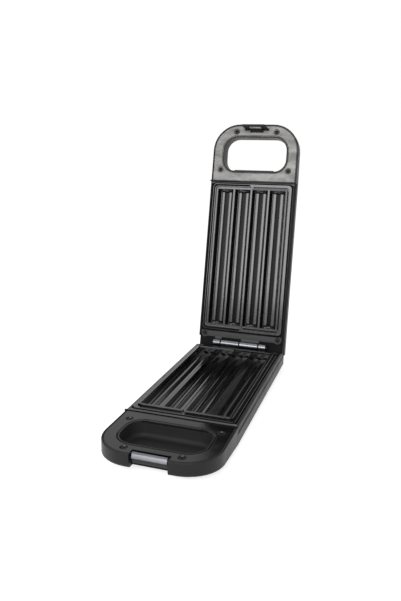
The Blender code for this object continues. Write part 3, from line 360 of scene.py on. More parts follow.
RIB_TOP = 0.0013
RIB_END = 0.0016
RIB_STEPS = 4
NEAR_RIB, NEAR_ROUNDING = (0.0010, 0.0034), 0.0009
FAR_RIB, FAR_ROUNDING = (0.0040, 0.0058), 0.0006
NEAR_GUTTER, FAR_GUTTER = (0.0035, 0.0056), (0.0059, 0.0088)
GUTTER_TOP, GUTTER_WALL, GUTTER_FLOOR = -0.0010, -0.0034, -0.0040
GUTTER_END, GUTTER_CORNER, GUTTER_HALF_FLOOR = 0.0030, 0.005, 0.0002
# Between which distances from the grooves, and which heights, the faces of the gutters lie
GUTTER_MARGINS, GUTTER_HEIGHTS = (0.0034, 0.00905), (-0.00405, -0.0017)


def rounded_rows(top, rounding, steps):
    """Insets and heights of a side that stands on the plate's inside and ends in a rounded edge."""
    rows = [(0, INSIDE)]
    for i in range(steps + 1):
        a = math.radians(90 / steps * i)
        rows.append((rounding * (1 - math.cos(a)), top - rounding * (1 - math.sin(a))))
    return rows


def land_mesh(x0, x1, margin):
    """Flat slab round the grooves with a rounded upper edge."""
    rear, front = GROOVE_REAR - margin, GROOVE_FRONT + margin
    rings = []
    for inset, z in rounded_rows(LAND, LAND_ROUNDING, LAND_ROUNDING_STEPS):
        corner = margin - inset
        plan = outline(x0 + inset, x1 - inset, rear + inset, front - inset, corner, LAND_CORNER_STEPS)
        rings.append([(x, y, z) for x, y in plan])
    return rings_mesh(rings)


def groove_section(centre, run, deepest, ridge):
    """Section of a groove's cutter: rounded rim, full bowl and two broad ridges, no deeper than deepest."""
    section = [(GROOVE_HALF + GROOVE_RIM, CUTTER_TOP)]
    for a in RIM_ANGLES:
        t = math.radians(a)
        section.append((GROOVE_HALF + GROOVE_RIM * (1 - math.cos(t)), LAND - GROOVE_RIM * (1 - math.sin(t))))
    for x in BOWL_AT:
        bowl = GROOVE_DEEP * (1 - (x / GROOVE_HALF) ** BOWL_POWER) ** (1 / BOWL_POWER)
        if x < FLUTE_HALF:
            ridged = FLUTE_TOP + FLUTE_DEEP * (1 - math.hypot(x / FLUTE_HALF, FLUTE_SOFT))
        else:
            away = abs(x - RIDGE_AT)
            ridged = RIDGE_DROP + away * away / RIDGE_CROWN + max(away - RIDGE_HALF, 0) * RIDGE_FLANK
        depth = min(bowl, bowl + (ridged - bowl) * ridge)
        section.append((x, LAND - depth))
    section += [(-x, z) for x, z in reversed(section[:-1])]
    return [(centre + x, -run, max(z, LAND - deepest)) for x, z in section]


def groove_mesh(centre):
    """Cutter of one groove, with filleted ends and ridges that fade in behind them."""
    ends = list(END_LIP)
    for i in range(END_STEPS + 1):
        a = math.radians(90 / END_STEPS * i)
        way_in = END_DRAFT + END_FILLET * (1 - math.cos(a))
        ends.append((way_in, GROOVE_DEEP - END_FILLET * (1 - math.sin(a)), 0))
    for i in range(1, END_STEPS + 1):
        share = math.sin(math.radians(90 / END_STEPS * i)) ** 2
        ends.append((FADE_FROM + FADE_STEP * i, GROOVE_DEEP, share))
    stations = [(GROOVE_REAR + t, deep, ridge) for t, deep, ridge in ends]
    stations += [(GROOVE_FRONT - t, deep, ridge) for t, deep, ridge in reversed(ends)]
    return rings_mesh([groove_section(centre, run, deep, ridge) for run, deep, ridge in stations])


def tub_mesh(centre):
    """Underside of one groove."""
    section = [(TUB_HALF, TUB_TOP)]
    for i in range(1, TUB_STEPS):
        a = math.pi * i / TUB_STEPS
        section.append((TUB_HALF * math.cos(a), min(LAND - TUB_DEEP * math.sin(a), TUB_TOP)))
    section.append((-TUB_HALF, TUB_TOP))
    rings = []
    for run, share in TUB_ENDS:
        rings.append([(centre + x, -run, TUB_TOP + (z - TUB_TOP) * share) for x, z in section])
    return rings_mesh(rings)


def half_loop_ring(side, inner, outer, end, z, corner=None):
    """Ring of C shape round one side of the grooves, between two distances from them."""
    loops = []
    for margin in (inner, outer):
        radius = margin if corner is None else corner
        x1 = ARRAY_HALF + margin
        front, rear = GROOVE_FRONT + margin, GROOVE_REAR - margin
        loop = [(end, -front)]
        loop += arc(x1 - radius, -front + radius, radius, -90, 0, CORNER_STEPS)
        loop += arc(x1 - radius, -rear - radius, radius, 0, 90, CORNER_STEPS)
        loop.append((end, -rear))
        loops.append(loop)
    return [(side * x, y, z) for x, y in loops[1] + loops[0][::-1]]


def rib_mesh(side, inner, outer, rounding):
    """Half-loop rib with a rounded crest."""
    rings = []
    for inset, z in rounded_rows(RIB_TOP, rounding, RIB_STEPS):
        rings.append(half_loop_ring(side, inner + inset, outer - inset, RIB_END + inset, z))
    return rings_mesh(rings)


def gutter_mesh(side, inner, outer):
    """Cutter of the black V line beside a rib."""
    middle = (inner + outer) / 2
    floor = (middle - GUTTER_HALF_FLOOR, middle + GUTTER_HALF_FLOOR)
    rings = []
    for z, margins in ((GUTTER_TOP, (inner, outer)), (GUTTER_WALL, (inner, outer)), (GUTTER_FLOOR, floor)):
        rings.append(half_loop_ring(side, *margins, GUTTER_END, z, GUTTER_CORNER))
    return rings_mesh(rings)


def mark_gutters(mesh):
    """Second material in the gutters of a plate, which paints their shade black."""
    nearest, furthest = GUTTER_MARGINS
    lowest, highest = GUTTER_HEIGHTS
    for face in mesh.polygons:
        corners = [mesh.vertices[i].co for i in face.vertices]
        margins = [max(abs(p.x) - ARRAY_HALF, -p.y - GROOVE_FRONT, GROOVE_REAR + p.y) for p in corners]
        if nearest < min(margins) and max(margins) < furthest and lowest < face.center.z < highest:
            face.material_index = SECOND


def grooved_plate(half):
    """Cast plate with its fluted grooves and the half-loop ribs that lap those of the other half."""
    rings = []
    for inset, z in PLATE_ROWS:
        side, rear, front = PLATE_HALF - inset, PLATE_REAR + inset, PLATE_FRONT - inset
        plan = outline(-side, side, rear, front, PLATE_CORNER - inset, CORNER_STEPS)
        rings.append([(x, y, z) for x, y in plan])
    plate = loose(rings_mesh(rings))
    combine(plate, land_mesh(-ARRAY_HALF - LAND_MARGIN, ARRAY_HALF + LAND_MARGIN, LAND_MARGIN), "UNION")
    combine(plate, land_mesh(-ARRAY_HALF - RIB_LAND_MARGIN, -RIB_END, RIB_LAND_MARGIN), "UNION")
    combine(plate, rib_mesh(-1, *NEAR_RIB, NEAR_ROUNDING), "UNION")
    combine(plate, rib_mesh(1, *FAR_RIB, FAR_ROUNDING), "UNION")
    combine(plate, gutter_mesh(-1, *NEAR_GUTTER), "DIFFERENCE")
    combine(plate, gutter_mesh(1, *FAR_GUTTER), "DIFFERENCE")
    centres = [(i - (GROOVES - 1) / 2) * GROOVE_PITCH for i in range(GROOVES)]
    combine(plate, island_mesh([tub_mesh(x) for x in centres]), "UNION")
    combine(plate, island_mesh([groove_mesh(x) for x in centres]), "DIFFERENCE")
    shade_by_angle(plate.data, PLATE_CRISP)
    even_normals(plate)
    mark_gutters(plate.data)
    finish_piece(plate, f"{half}_fluted_plate", half, "coated_plate", f"{half}_plate")


# Cross-head screws. The profile has radii and heights, from the tip to the middle of the head.
SCREW_PROFILE = [(0.0011, -0.0094), (0.00145, -0.009), (0.00145, -0.0011), (0.0032, -0.0006)]
SCREW_PROFILE += [(0.0034, -0.0005), (0.00344, -0.0004), (0.0033, -0.0003), (0.0025, -0.0003)]
SCREW_PROFILE += [(0.00234, -0.0002), (0.0023, -0.00005), (0.00218, 0.00006), (0.0016, 0.00013)]
SCREW_PROFILE += [(0.0008, 0.00016)]
SCREW_STEPS = 40
SCREW_CRISP = 30
CROSS_ROWS = ((-0.0008, 0.0018, 0.0006), (0.0006, 0.0044, 0.0013))  # height, length, width
CROSS_REACH, CROSS_LOW, CROSS_HIGH = 0.0022, -0.001, -0.00002
SHADOW_RING = 0.0024
FIRST_TURN, NEXT_TURN = 0.35, 0.8  # radians


def turned_mesh(profile, steps):
    """Solid of revolution about Z."""
    turn = [2 * math.pi * i / steps for i in range(steps)]
    rings = [[(radius * math.cos(a), radius * math.sin(a), z) for a in turn] for radius, z in profile]
    return rings_mesh(rings)


def cross_bar(along_x):
    """Tapered bar that cuts one stroke of the cross."""
    rings = []
    for z, length, width in CROSS_ROWS:
        u, v = (length / 2, width / 2) if along_x else (width / 2, length / 2)
        rings.append([(-u, -v, z), (u, -v, z), (u, v, z), (-u, v, z)])
    return rings_mesh(rings)


def screw_mesh():
    """Countersunk screw with its head's top at height 0, its cross and sunk ring in the second material,
    which paints their shade.
    """
    screw = loose(turned_mesh(SCREW_PROFILE, SCREW_STEPS))
    for along_x in (True, False):
        combine(screw, cross_bar(along_x), "DIFFERENCE")
    mesh = screw.data
    bpy.data.objects.remove(screw, do_unlink=True)
    shade_by_angle(mesh, SCREW_CRISP)
    for face in mesh.polygons:
        across = math.hypot(face.center.x, face.center.y)
        shaded_recess = across < CROSS_REACH and CROSS_LOW < face.center.z < CROSS_HIGH
        if shaded_recess or across > SHADOW_RING:
            face.material_index = SECOND
    return mesh


def node_box(node, half):
    """Box of a CAD node in the plain frame of its half."""
    back = HALVES[half].inverted()
    points = [back @ vertex.co for vertex in frame["nodes"][node].data.vertices]
    return [Vector([pick(p[k] for p in points) for k in range(3)]) for pick in (min, max)]


def screws():
    master = screw_mesh()
    names = [name for name in frame["nodes"] if "_screw_" in name]
    for index, node in enumerate(sorted(names)):
        half = half_of(node)
        low, high = node_box(node, half)
        mesh = master.copy()
        turn = Matrix.Rotation(FIRST_TURN + NEXT_TURN * index, 4, "Z")
        mesh.transform(Matrix.Translation(((low.x + high.x) / 2, (low.y + high.y) / 2, high.z)) @ turn)
        finish_piece(loose(mesh), f"{node}_cross_head", half, "black_screw", node)
    bpy.data.meshes.remove(master)


# Rounded copies of the moulded and pressed parts, with the width of each rounding.
# A value that ends in FACING is the most that a face's normal may point along Y.
ROUNDED = {
    "base_housing": 0.0003,
    "lid_housing": 0.0003,
    "base_handle_shell": 0.0003,
    "lid_handle_shell": 0.0003,
    "base_handle_cover": 0.0002,
    "lid_handle_cover": 0.0002,
    "base_rear_band": 0.0003,
    "lid_rear_band": 0.0003,
    "base_catch": 0.0002,
    "lid_latch_tongue": 0.0003,
    "base_hinge_leaf": 0.00025,
    "lid_hinge_leaf": 0.00025,
}
COPY_WELD = 0.00001
COPLANAR, CRISP = 0.6, 35  # degrees between faces
LEAST_LENGTH = 2.4  # of an edge beside a rounded one, in widths of the rounding
ROUNDING_SEGMENTS = 2
CUT_SNAP = 0.000001
PICK_SLACK = 0.0001  # when faces are picked by place
SEAM_SLACK = 0.0002
RIM_TOP = FACE + 0.0016
RIM_FOOT = FACE + 0.0002
RIM_FRONT, RIM_SEAM = 0.2664, 0.2688
RIM_FALL, RIM_FALL_WIDTH, RIM_FALL_HEIGHT = 0.28, 0.0040, 0.0021
FRONT_CUT = FACE + 0.0003
# Faces in the recess round the hinge are given painted shade
HINGE_RECESS_RUN, HINGE_RECESS_HALF, HINGE_RECESS_FLOOR, HINGE_RECESS_FACING = 0.0195, 0.0722, -0.0200, 0.5
CUP_LIP = FACE - 0.0028
CUP_TOP = FACE - 0.0006
CUP_HALF, CUP_REAR, CUP_FRONT = 0.0530, 0.2887, 0.3450
CUP_UNDERSIDE = -0.3
CUP_WALL_HALF, CUP_WALL_REAR, CUP_WALL_FRONT, CUP_WALL_FACING = 0.045, 0.2850, 0.3000, -0.9
LIP_FACING = -0.7
BORDER_WIDTH = 0.0007
BORDER_LEVEL, BORDER_AREA, BORDER_SLACK = 0.999, 0.00000001, 0.00005


def on_rim(point):
    return point.z > RIM_TOP - PICK_SLACK


def on_seam(point):
    return -point.y > SEAM_RUN - SEAM_SLACK


def faces_where(bm, place, test):
    """Faces whose corners all pass a test in the plain frame of a half."""
    back = place.inverted()
    return [face for face in bm.faces if all(test(back @ vert.co) for vert in face.verts)]


def split_faces(bm, faces, place, at, along):
    """Cuts faces along a plane that is given in the plain frame of a half."""
    geom = set(faces)
    for face in faces:
        geom.update(face.edges)
        geom.update(face.verts)
    way = place.to_3x3() @ Vector(along)
    bmesh.ops.bisect_plane(bm, geom=list(geom), plane_co=place @ Vector(at), plane_no=way, dist=CUT_SNAP)


def split_housing(bm, place):
    """Cuts that set the front of a housing's rim apart."""
    for run in (RIM_FRONT, RIM_SEAM):
        split_faces(bm, faces_where(bm, place, on_rim), place, (0, -run, 0), (0, 1, 0))
    split_faces(bm, faces_where(bm, place, on_seam), place, (0, 0, FRONT_CUT), (0, 0, 1))


def split_cup(bm, place):
    """Cut below the shaded lip on the rear wall of the base's finger recess."""
    back = place.inverted()
    turn = back.to_3x3()
    wall = []
    for face in bm.faces:
        middle = back @ face.calc_center_median()
        inside = abs(middle.x) < CUP_WALL_HALF and CUP_WALL_REAR < -middle.y < CUP_WALL_FRONT
        if inside and (turn @ face.normal).y < CUP_WALL_FACING:
            wall.append(face)
    split_faces(bm, wall, place, (0, 0, CUP_LIP), (0, 0, 1))


def slope_rim(bm, place):
    """Lets the flat top of a housing's rim fall a little outwards."""
    bmesh.ops.triangulate(bm, faces=faces_where(bm, place, on_rim))
    back = place.inverted()
    for vert in bm.verts:
        local = back @ vert.co
        away = abs(local.x) - (HALF_WIDTH - RIM_FALL_WIDTH)
        if away > 0 and local.z > RIM_TOP - RIM_FALL_HEIGHT:
            local.z -= RIM_FALL * away * (1 + (local.z - RIM_TOP) / RIM_FALL_HEIGHT)
            vert.co = place @ local


def crisp_edges(bm, width):
    """Crisp edges that have room for a rounding of this width."""
    limit = math.radians(CRISP)
    crisp = []
    for edge in bm.edges:
        if len(edge.link_faces) == 2 and edge.calc_face_angle(0) > limit:
            near = [other.calc_length() for vert in edge.verts for other in vert.link_edges]
            if min(near) > LEAST_LENGTH * width:
                crisp.append(edge)
    return crisp


def paint_seam_shadow(bm, place):
    """Narrow border on the top of a cover, with the second material, which paints the shadow of the seam
    round it.
    """
    back = place.inverted()
    turn = place.to_3x3().inverted()
    flat = [f for f in bm.faces if (turn @ f.normal).z > BORDER_LEVEL and f.calc_area() > BORDER_AREA]
    high = max((back @ face.calc_center_median()).z for face in flat)
    top = [face for face in flat if (back @ face.calc_center_median()).z > high - BORDER_SLACK]
    made = bmesh.ops.inset_region(
        bm, faces=top, thickness=BORDER_WIDTH, depth=0, use_even_offset=True, use_boundary=True
    )
    for face in made["faces"]:
        face.material_index = SECOND


def mark_rim(mesh, half):
    """Second material on a housing's rim, third as painted shade in the recess round the hinge, fourth as
    painted light on the rim's front.
    """
    back = HALVES[half].inverted()
    turn = back.to_3x3()
    for face in mesh.polygons:
        corners = [back @ mesh.vertices[i].co for i in face.vertices]
        runs = [-p.y for p in corners]
        lowest = min(p.z for p in corners)
        if lowest > RIM_FOOT:
            ahead = min(runs) > RIM_FRONT - PICK_SLACK
            # On the lid the front strip ends short of the seam
            strip = ahead and (half == "base" or max(runs) < RIM_SEAM + PICK_SLACK)
            # The rim's front strip gets a lighter grey that paints the light falling on it
            face.material_index = FOURTH if strip else SECOND
        elif max(runs) < HINGE_RECESS_RUN and max(abs(p.x) for p in corners) < HINGE_RECESS_HALF:
            if lowest > HINGE_RECESS_FLOOR and (turn @ face.normal).y < HINGE_RECESS_FACING:
                face.material_index = THIRD


def mark_cup(mesh, half):
    """Second material, painted lighter as painted light, in the base's finger recess; third, a painted shade,
    on the lip of its rear wall.
    """
    back = HALVES[half].inverted()
    turn = back.to_3x3()
    for face in mesh.polygons:
        middle = back @ face.center
        way = turn @ face.normal
        inside = abs(middle.x) < CUP_HALF and CUP_REAR < -middle.y < CUP_FRONT and middle.z < CUP_TOP
        if inside and way.z > CUP_UNDERSIDE:
            above = min((back @ mesh.vertices[i].co).z for i in face.vertices) > CUP_LIP - PICK_SLACK
            face.material_index = THIRD if above and way.y < LIP_FACING else SECOND


def rounded_copy(node, width):
    """Copy of a CAD node whose long crisp edges are rounded over, with the faces of other finishes marked."""
    source = frame["nodes"][node]
    half = half_of(node)
    place = HALVES[half]
    bm = bmesh.new()
    bm.from_mesh(source.data)
    bmesh.ops.remove_doubles(bm, verts=bm.verts[:], dist=COPY_WELD)
    bmesh.ops.dissolve_limit(bm, angle_limit=math.radians(COPLANAR), verts=bm.verts[:], edges=bm.edges[:])
    if node.endswith("_housing"):
        split_housing(bm, place)
    if node == "base_handle_shell":
        split_cup(bm, place)
    crisp = crisp_edges(bm, width)
    if node.endswith("_housing"):
        slope_rim(bm, place)
    bmesh.ops.bevel(
        bm,
        geom=crisp,
        offset=width,
        segments=ROUNDING_SEGMENTS,
        profile=0.5,
        affect="EDGES",
        clamp_overlap=True,
    )
    if node.endswith("_handle_cover"):
        paint_seam_shadow(bm, place)
    mesh = bpy.data.meshes.new(node)
    bm.to_mesh(mesh)
    bm.free()
    shade_by_angle(mesh, CRISP)
    obj = loose(mesh)
    even_normals(obj)
    obj.data.name = node
    if node.endswith("_housing"):
        mark_rim(obj.data, half)
    if node == "base_handle_shell":
        mark_cup(obj.data, half)
    obj.name = f"{node}_finished"
    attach(obj, source["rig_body"])
    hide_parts(node)
    PIECES[obj.name] = obj


# Small lugs of the handle mouldings that show at the seam
LUG_ROWS = ((-0.0011, 0.0002), (-0.0009, 0), (0.0009, 0), (0.0011, 0.0002))  # way from the seam, inset
LUG_INNER, LUG_PROUD = 0.0708, 0.0013
LUG_LOW, LUG_HIGH = FACE - 0.0030, FACE + 0.0012
LUG_CRISP = 50


def seam_lug(half, side):
    rings = []
    for along, inset in LUG_ROWS:
        low, high, out = LUG_LOW + inset, LUG_HIGH - inset, HALF_WIDTH + LUG_PROUD - inset
        section = ((LUG_INNER, low), (out, low), (out, high), (LUG_INNER, high))
        rings.append([(side * x, -(SEAM_RUN + along), z) for x, z in section])
    mesh = rings_mesh(rings)
    shade_by_angle(mesh, LUG_CRISP)
    finish_piece(loose(mesh), f"{half}_seam_lug", half, "black_shell")


def make_pieces():
    for half in HALVES:
        grooved_plate(half)
    screws()
    for node, width in ROUNDED.items():
        rounded_copy(node, width)
    seam_lug("base", -1)
    seam_lug("lid", 1)


# Kinds of material. A pattern's scale is in cells per metre, and NOISE_RANGE is where most of a noise lies.
NOISE_RANGE = (0.3, 0.7)
SMOOTHER, ROUGHER = 0.05, 0.07
GRAIN_SCALE, SMEAR_SCALE = 1400, 30
WEAR, WEAR_LIGHTER = 0.12, 2.2
SPECKLE_SCALE, SPECKLE_STOPS = 2600, (0.4, 0.66)
HAZE_SCALE, HAZE_STRETCH = 60, (3, 0.6, 0.6)
HAZE_SMOOTHER, HAZE_ROUGHER = 0.03, 0.05
PEEL_SCALE, PEEL = 600, 0.06
BRUSH_SCALE, BRUSH_DARKER, BRUSH_DEPTH = 60, 0.82, 0.05
RUBBER_DARK, RUBBER_LIGHT = (0.012, 0.012, 0.012), (0.026, 0.026, 0.026)
RUBBER_STOPS = (0.35, 0.7)
RUBBER_BLOTCH_SCALE, RUBBER_SMEAR_SCALE, RUBBER_GRAIN_SCALE = 300, 80, 900
RUBBER_ROUGHNESS, RUBBER_GRAIN, RUBBER_ROUNDING = (0.68, 0.85), 0.25, 0.0005
BARREL_REACH = (0.0060, 0.0062)
CATCH_FRONT_HEIGHT = 0.0066
MASK_BLUR = 0.0001


def vary_roughness(tree, shader, pattern, low, high):
    """Roughness between two values that follows a pattern."""
    link(tree, remap(tree, pattern, *NOISE_RANGE, low, high), shader.inputs["Roughness"])


def plastic(name, colour, spread, roughness, level, grain, blotch=14, streak=None, stops=(0.32, 0.68)):
    """Moulded plastic with a fine spark-eroded grain, slow colour drift and brighter worn edges."""
    material, tree, shader = new_material(name)
    coords = object_coords(tree)
    drift = noise(tree, coords, blotch, detail=4, roughness=0.6, stretch=streak)
    dark = tuple(c * (1 - spread) for c in colour)
    light = tuple(c * (1 + spread) for c in colour)
    tint = ramp(tree, drift, zip(stops, (dark, light)))
    wear = remap(tree, worn_edges(tree), 0, 1, 0, WEAR)
    worn = mix(tree, wear, tint, (*[c * WEAR_LIGHTER for c in light], 1))
    link(tree, worn, shader.inputs["Base Color"])
    smear = noise(tree, coords, SMEAR_SCALE, detail=3, roughness=0.6, stretch=streak)
    vary_roughness(tree, shader, smear, roughness - SMOOTHER, roughness + ROUGHER)
    shader.inputs["Specular IOR Level"].default_value = level
    bump(tree, shader, noise(tree, coords, GRAIN_SCALE, detail=2), grain)
    return material


def coated(name, dark, light, roughness, level):
    """Non-stick coating: fine speckle over dark enamel, with a slight orange peel."""
    material, tree, shader = new_material(name)
    coords = object_coords(tree)
    speckle = noise(tree, coords, SPECKLE_SCALE, detail=1)
    tint = ramp(tree, speckle, zip(SPECKLE_STOPS, (dark, light)))
    link(tree, tint, shader.inputs["Base Color"])
    haze = noise(tree, coords, HAZE_SCALE, detail=3, roughness=0.5, stretch=HAZE_STRETCH)
    vary_roughness(tree, shader, haze, roughness - HAZE_SMOOTHER, roughness + HAZE_ROUGHER)
    shader.inputs["Specular IOR Level"].default_value = level
    bump(tree, shader, noise(tree, coords, PEEL_SCALE, detail=2), PEEL)
    return material


def metal(name, colour, roughness, brush):
    """Bare or plated metal with fine lines along one way."""
    material, tree, shader = new_material(name)
    lines = noise(tree, object_coords(tree), BRUSH_SCALE, detail=3, roughness=0.6, stretch=brush)
    dark = tuple(c * BRUSH_DARKER for c in colour)
    link(tree, ramp(tree, lines, zip(NOISE_RANGE, (dark, colour))), shader.inputs["Base Color"])
    shader.inputs["Metallic"].default_value = 1.0
    vary_roughness(tree, shader, lines, roughness - SMOOTHER, roughness + ROUGHER)
    bump(tree, shader, lines, BRUSH_DEPTH)
    return material


def rubber(name):
    """Matt black rubber with a coarse grain and soft edges."""
    material, tree, shader = new_material(name)
    coords = object_coords(tree)
    blotch = noise(tree, coords, RUBBER_BLOTCH_SCALE, detail=3)
    tint = ramp(tree, blotch, zip(RUBBER_STOPS, (RUBBER_DARK, RUBBER_LIGHT)))
    link(tree, tint, shader.inputs["Base Color"])
    vary_roughness(tree, shader, noise(tree, coords, RUBBER_SMEAR_SCALE), *RUBBER_ROUGHNESS)
    bump(tree, shader, noise(tree, coords, RUBBER_GRAIN_SCALE), RUBBER_GRAIN, RUBBER_ROUNDING)
    return material


def beyond_hinge(tree):
    """1 further from the hinge's axis than its barrel reaches, where the leaves' straps get painted shade."""
    offset = add(tree, "ShaderNodeVectorMath", operation="SUBTRACT")
    link(tree, object_coords(tree), offset.inputs[0])
    offset.inputs[1].default_value = HINGE_AT
    flat = add(tree, "ShaderNodeVectorMath", operation="MULTIPLY")
    link(tree, offset.outputs[0], flat.inputs[0])
    flat.inputs[1].default_value = (0, 1, 1)
    length = add(tree, "ShaderNodeVectorMath", operation="LENGTH")
    link(tree, flat.outputs[0], length.inputs[0])
    return remap(tree, length.outputs["Value"], *BARREL_REACH, 0, 1)


def below_catch_front(tree):
    """1 below the catch's silver front."""
    split = add(tree, "ShaderNodeSeparateXYZ")
    link(tree, object_coords(tree), split.inputs[0])
    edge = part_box("base_catch")[1].z - CATCH_FRONT_HEIGHT
    return remap(tree, split.outputs["Z"], edge + MASK_BLUR, edge - MASK_BLUR, 0, 1)


def two_tone(material, mask, dark, rough):
    """Gives a metal a second, darker colour, dull and not metallic, where the mask is 1; on the hinge leaves
    this is painted shade.
    """
    tree = material.node_tree
    shader = tree.nodes["Principled BSDF"]
    factor = mask(tree)
    colour, roughness, metallic = (shader.inputs[name] for name in ("Base Color", "Roughness", "Metallic"))
    link(tree, mix(tree, factor, colour.links[0].from_socket, (*dark, 1)), colour)
    link(tree, mix(tree, factor, roughness.links[0].from_socket, (rough, rough, rough, 1)), roughness)
    link(tree, mix(tree, factor, (1, 1, 1, 1), (0, 0, 0, 1)), metallic)
    return material


def use(names, *materials):
    """Gives these materials to pieces or CAD nodes, and to the pieces that stand for the nodes."""
    for name in names:
        for key, obj in list(PIECES.items()) + list(frame["nodes"].items()):
            if key in (name, f"{name}_finished"):
                indices = [face.material_index for face in obj.data.polygons]
                obj.data.materials.clear()
                for material in materials:
                    obj.data.materials.append(material)
                obj.data.polygons.foreach_set("material_index", [min(i, len(materials) - 1) for i in indices])


# Materials of the pieces
MOULDED_BLACK = (0.004, 0.004, 0.0043)
CUP_PAINTED_LIGHT_BLACK = (0.016, 0.016, 0.0165)
RIM_BLACK = (0.003, 0.003, 0.0033)
PAINTED_LIGHT_GREY = (0.075, 0.077, 0.083)
PAINTED_SHADE_BLACK = (0.002, 0.002, 0.002)
TONGUE_BLACK = (0.006, 0.006, 0.006)
SEAM_SHADOW_BLACK = (0.003, 0.003, 0.003)
WARM_GREY, WARM_STREAK = (0.19, 0.187, 0.18), (1, 2.6, 2.6)
DARK_GREY, DARK_STREAK = (0.003, 0.003, 0.0032), (0.5, 2.5, 2.5)
BAND_BLACK = (0.006, 0.006, 0.0065)
COAT_DARK, COAT_LIGHT = (0.0014, 0.0014, 0.0015), (0.0032, 0.0033, 0.0037)
CHROME, CHROME_PAINTED_SHADE = (0.19, 0.195, 0.21), (0.02, 0.02, 0.022)
PIN_STEEL = (0.03, 0.03, 0.031)
SILVER, SILVER_DULL = (0.15, 0.153, 0.165), (0.008, 0.008, 0.008)
SCREW_BLACK, CROSS_SHADE_BLACK = (0.028, 0.028, 0.028), (0.004, 0.004, 0.004)
HEATER_STEEL = (0.42, 0.41, 0.40)
SHIELD_STEEL = (0.62, 0.63, 0.64)
PHENOLIC_BROWN = (0.20, 0.14, 0.08)


def dress_mouldings(painted_shade):
    shell = plastic("moulded_black", MOULDED_BLACK, spread=0.25, roughness=0.42, level=0.25, grain=0.03)
    # The finger recess is rougher and painted lighter than the shell, as painted light on its walls
    cup = plastic("recess_black", CUP_PAINTED_LIGHT_BLACK, spread=0.15, roughness=0.6, level=0.2, grain=0.06)
    rim = plastic("rim_satin", RIM_BLACK, spread=0.25, roughness=0.20, level=0.1, grain=0.22)
    # Lighter grey on the rim's front strip: painted light on the same black moulding
    strip = plastic("rim_front", PAINTED_LIGHT_GREY, spread=0.2, roughness=0.4, level=0.2, grain=0.2)
    use(["lid_handle_shell", "base_seam_lug", "lid_seam_lug"], shell)
    use(["base_handle_shell"], shell, cup, painted_shade)
    use(["base_housing", "lid_housing"], shell, rim, painted_shade, strip)


def dress_covers():
    # Black border on the covers' tops: painted shadow of the seam round them
    seam_shadow = plastic("cover_edge", SEAM_SHADOW_BLACK, spread=0.25, roughness=0.6, level=0.2, grain=0.03)
    warm = dict(spread=0.42, roughness=0.36, level=0.5, grain=0.10, blotch=36, stops=(0.36, 0.64))
    use(["lid_handle_cover"], plastic("cover_warm_grey", WARM_GREY, streak=WARM_STREAK, **warm), seam_shadow)
    dark = dict(spread=0.2, roughness=0.18, level=0.3, grain=0.075)
    use(["base_handle_cover"], plastic("cover_dark_grey", DARK_GREY, streak=DARK_STREAK, **dark), seam_shadow)


def dress_plates(painted_shade):
    coat = coated("plate_coating", COAT_DARK, COAT_LIGHT, roughness=0.16, level=0.66)
    use(["base_fluted_plate", "lid_fluted_plate", "base_plate", "lid_plate"], coat, painted_shade)


def dress_bands_and_tongue():
    band = plastic("band_satin", BAND_BLACK, spread=0.2, roughness=0.34, level=0.4, grain=0.06)
    use(["base_rear_band", "lid_rear_band"], band)
    tongue = plastic("tongue_black", TONGUE_BLACK, spread=0.2, roughness=0.55, level=0.15, grain=0.10)
    use(["lid_latch_tongue"], tongue)


def dress_hinge_and_catch():
    chrome = metal("hinge_chrome", CHROME, roughness=0.26, brush=(1, 20, 20))
    # The hinge leaves are painted dark beyond the barrel, as painted shade on their straps
    use(["base_hinge_leaf", "lid_hinge_leaf"], two_tone(chrome, beyond_hinge, CHROME_PAINTED_SHADE, rough=0.45))
    pin = metal("hinge_pin_steel", PIN_STEEL, roughness=0.45, brush=(1, 20, 20))
    use(["hinge_pin", "base_catch_pin"], pin)
    silver = metal("catch_silver", SILVER, roughness=0.34, brush=(1, 30, 30))
    use(["base_catch"], two_tone(silver, below_catch_front, SILVER_DULL, rough=0.45))


def dress_screws():
    head = metal("screw_black", SCREW_BLACK, roughness=0.35, brush=(8, 8, 1))
    # Matt black in the cross and the sunk ring of each screw: painted shade
    shaded_recess = plastic("screw_recess", CROSS_SHADE_BLACK, spread=0.2, roughness=0.6, level=0.1, grain=0.1)
    use([name for name in PIECES if name.endswith("_cross_head")], head, shaded_recess)
    use([name for name in frame["nodes"] if "_screw_" in name], head)


def dress_inner_parts():
    heater = metal("heater_steel", HEATER_STEEL, roughness=0.40, brush=(12, 1, 12))
    use(["base_heating_element", "lid_heating_element"], heater)
    shield = metal("shield_sheet", SHIELD_STEEL, roughness=0.32, brush=(1, 14, 14))
    use(["base_heat_shield", "lid_heat_shield"], shield)
    switch = plastic("switch_phenolic", PHENOLIC_BROWN, spread=0.2, roughness=0.5, level=0.5, grain=0.1)
    use(["thermostat", "terminal_block", "lid_thermal_cutout"], switch)


def make_materials():
    # Near-black matt material that paints shade into the plates' gutters, the recess round the hinge and the
    # lip of the finger recess
    painted_shade = plastic("gutter_black", PAINTED_SHADE_BLACK, spread=0.4, roughness=0.8, level=0.2, grain=0.0)
    dress_mouldings(painted_shade)
    dress_covers()
    dress_plates(painted_shade)
    dress_bands_and_tongue()
    dress_hinge_and_catch()
    dress_screws()
    dress_inner_parts()
    use(["foot_1", "foot_2", "foot_3", "foot_4", "cord_bush"], rubber("rubber_black"))


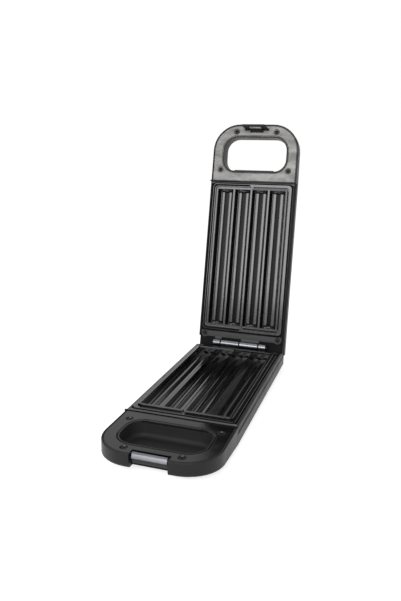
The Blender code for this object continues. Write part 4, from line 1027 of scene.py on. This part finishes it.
# Light, floor and background
WHITE = (1, 1, 1, 1)
SKY_SEEN, SKY_LIGHT = 1.0, 0.45
FLOOR_HALF = 4.0
FLOOR_COLOUR = (0.86, 0.86, 0.86, 1)
FLOOR_ROUGHNESS, FLOOR_LEVEL, FLOOR_GLOW = 0.9, 0.1, 0.62
LAMPS = {  # place, target, width and height, watts
    "softbox": ((0.107, -1.346, 0.70), (0, 0.18, 0.2), (1.56, 0.72), 19),
    "overhead": ((-0.9, 0.5, 1.7), (0, 0, 0.1), (1.2, 1.2), 4),
}


def seen_ray(tree):
    """1 for rays that see a surface from the camera, in a reflection or through glass."""
    path = add(tree, "ShaderNodeLightPath")
    seen = path.outputs["Is Camera Ray"]
    for kind in ("Is Glossy Ray", "Is Transmission Ray"):
        either = add(tree, "ShaderNodeMath", operation="MAXIMUM")
        link(tree, seen, either.inputs[0])
        link(tree, path.outputs[kind], either.inputs[1])
        seen = either.outputs[0]
    return seen


def make_world():
    world = bpy.data.worlds.new("studio")
    world.use_nodes = True
    scene.world = world
    tree = world.node_tree
    background = tree.nodes["Background"]
    link(tree, remap(tree, seen_ray(tree), 0, 1, SKY_LIGHT, SKY_SEEN), background.inputs["Strength"])
    background.inputs["Color"].default_value = WHITE


def make_floor():
    bm = bmesh.new()
    corners = ((-1, -1), (1, -1), (1, 1), (-1, 1))
    bm.faces.new([bm.verts.new((x * FLOOR_HALF, y * FLOOR_HALF, 0)) for x, y in corners])
    mesh = bpy.data.meshes.new("floor")
    bm.to_mesh(mesh)
    bm.free()
    floor = bpy.data.objects.new("floor", mesh)
    scene.collection.objects.link(floor)
    material, tree, shader = new_material("floor_white")
    shader.inputs["Base Color"].default_value = FLOOR_COLOUR
    shader.inputs["Roughness"].default_value = FLOOR_ROUGHNESS
    shader.inputs["Specular IOR Level"].default_value = FLOOR_LEVEL
    shader.inputs["Emission Color"].default_value = WHITE
    link(tree, remap(tree, seen_ray(tree), 0, 1, 0, FLOOR_GLOW), shader.inputs["Emission Strength"])
    mesh.materials.append(material)


def make_lights():
    for name, (place, target, size, watts) in LAMPS.items():
        data = bpy.data.lights.new(name, "AREA")
        data.shape = "RECTANGLE"
        data.size, data.size_y = size
        data.energy = watts
        lamp = bpy.data.objects.new(name, data)
        scene.collection.objects.link(lamp)
        lamp.location = place
        lamp.rotation_euler = (Vector(target) - Vector(place)).to_track_quat("-Z", "Y").to_euler()


make_camera()
make_world()
make_floor()
make_lights()
make_pieces()
make_materials()
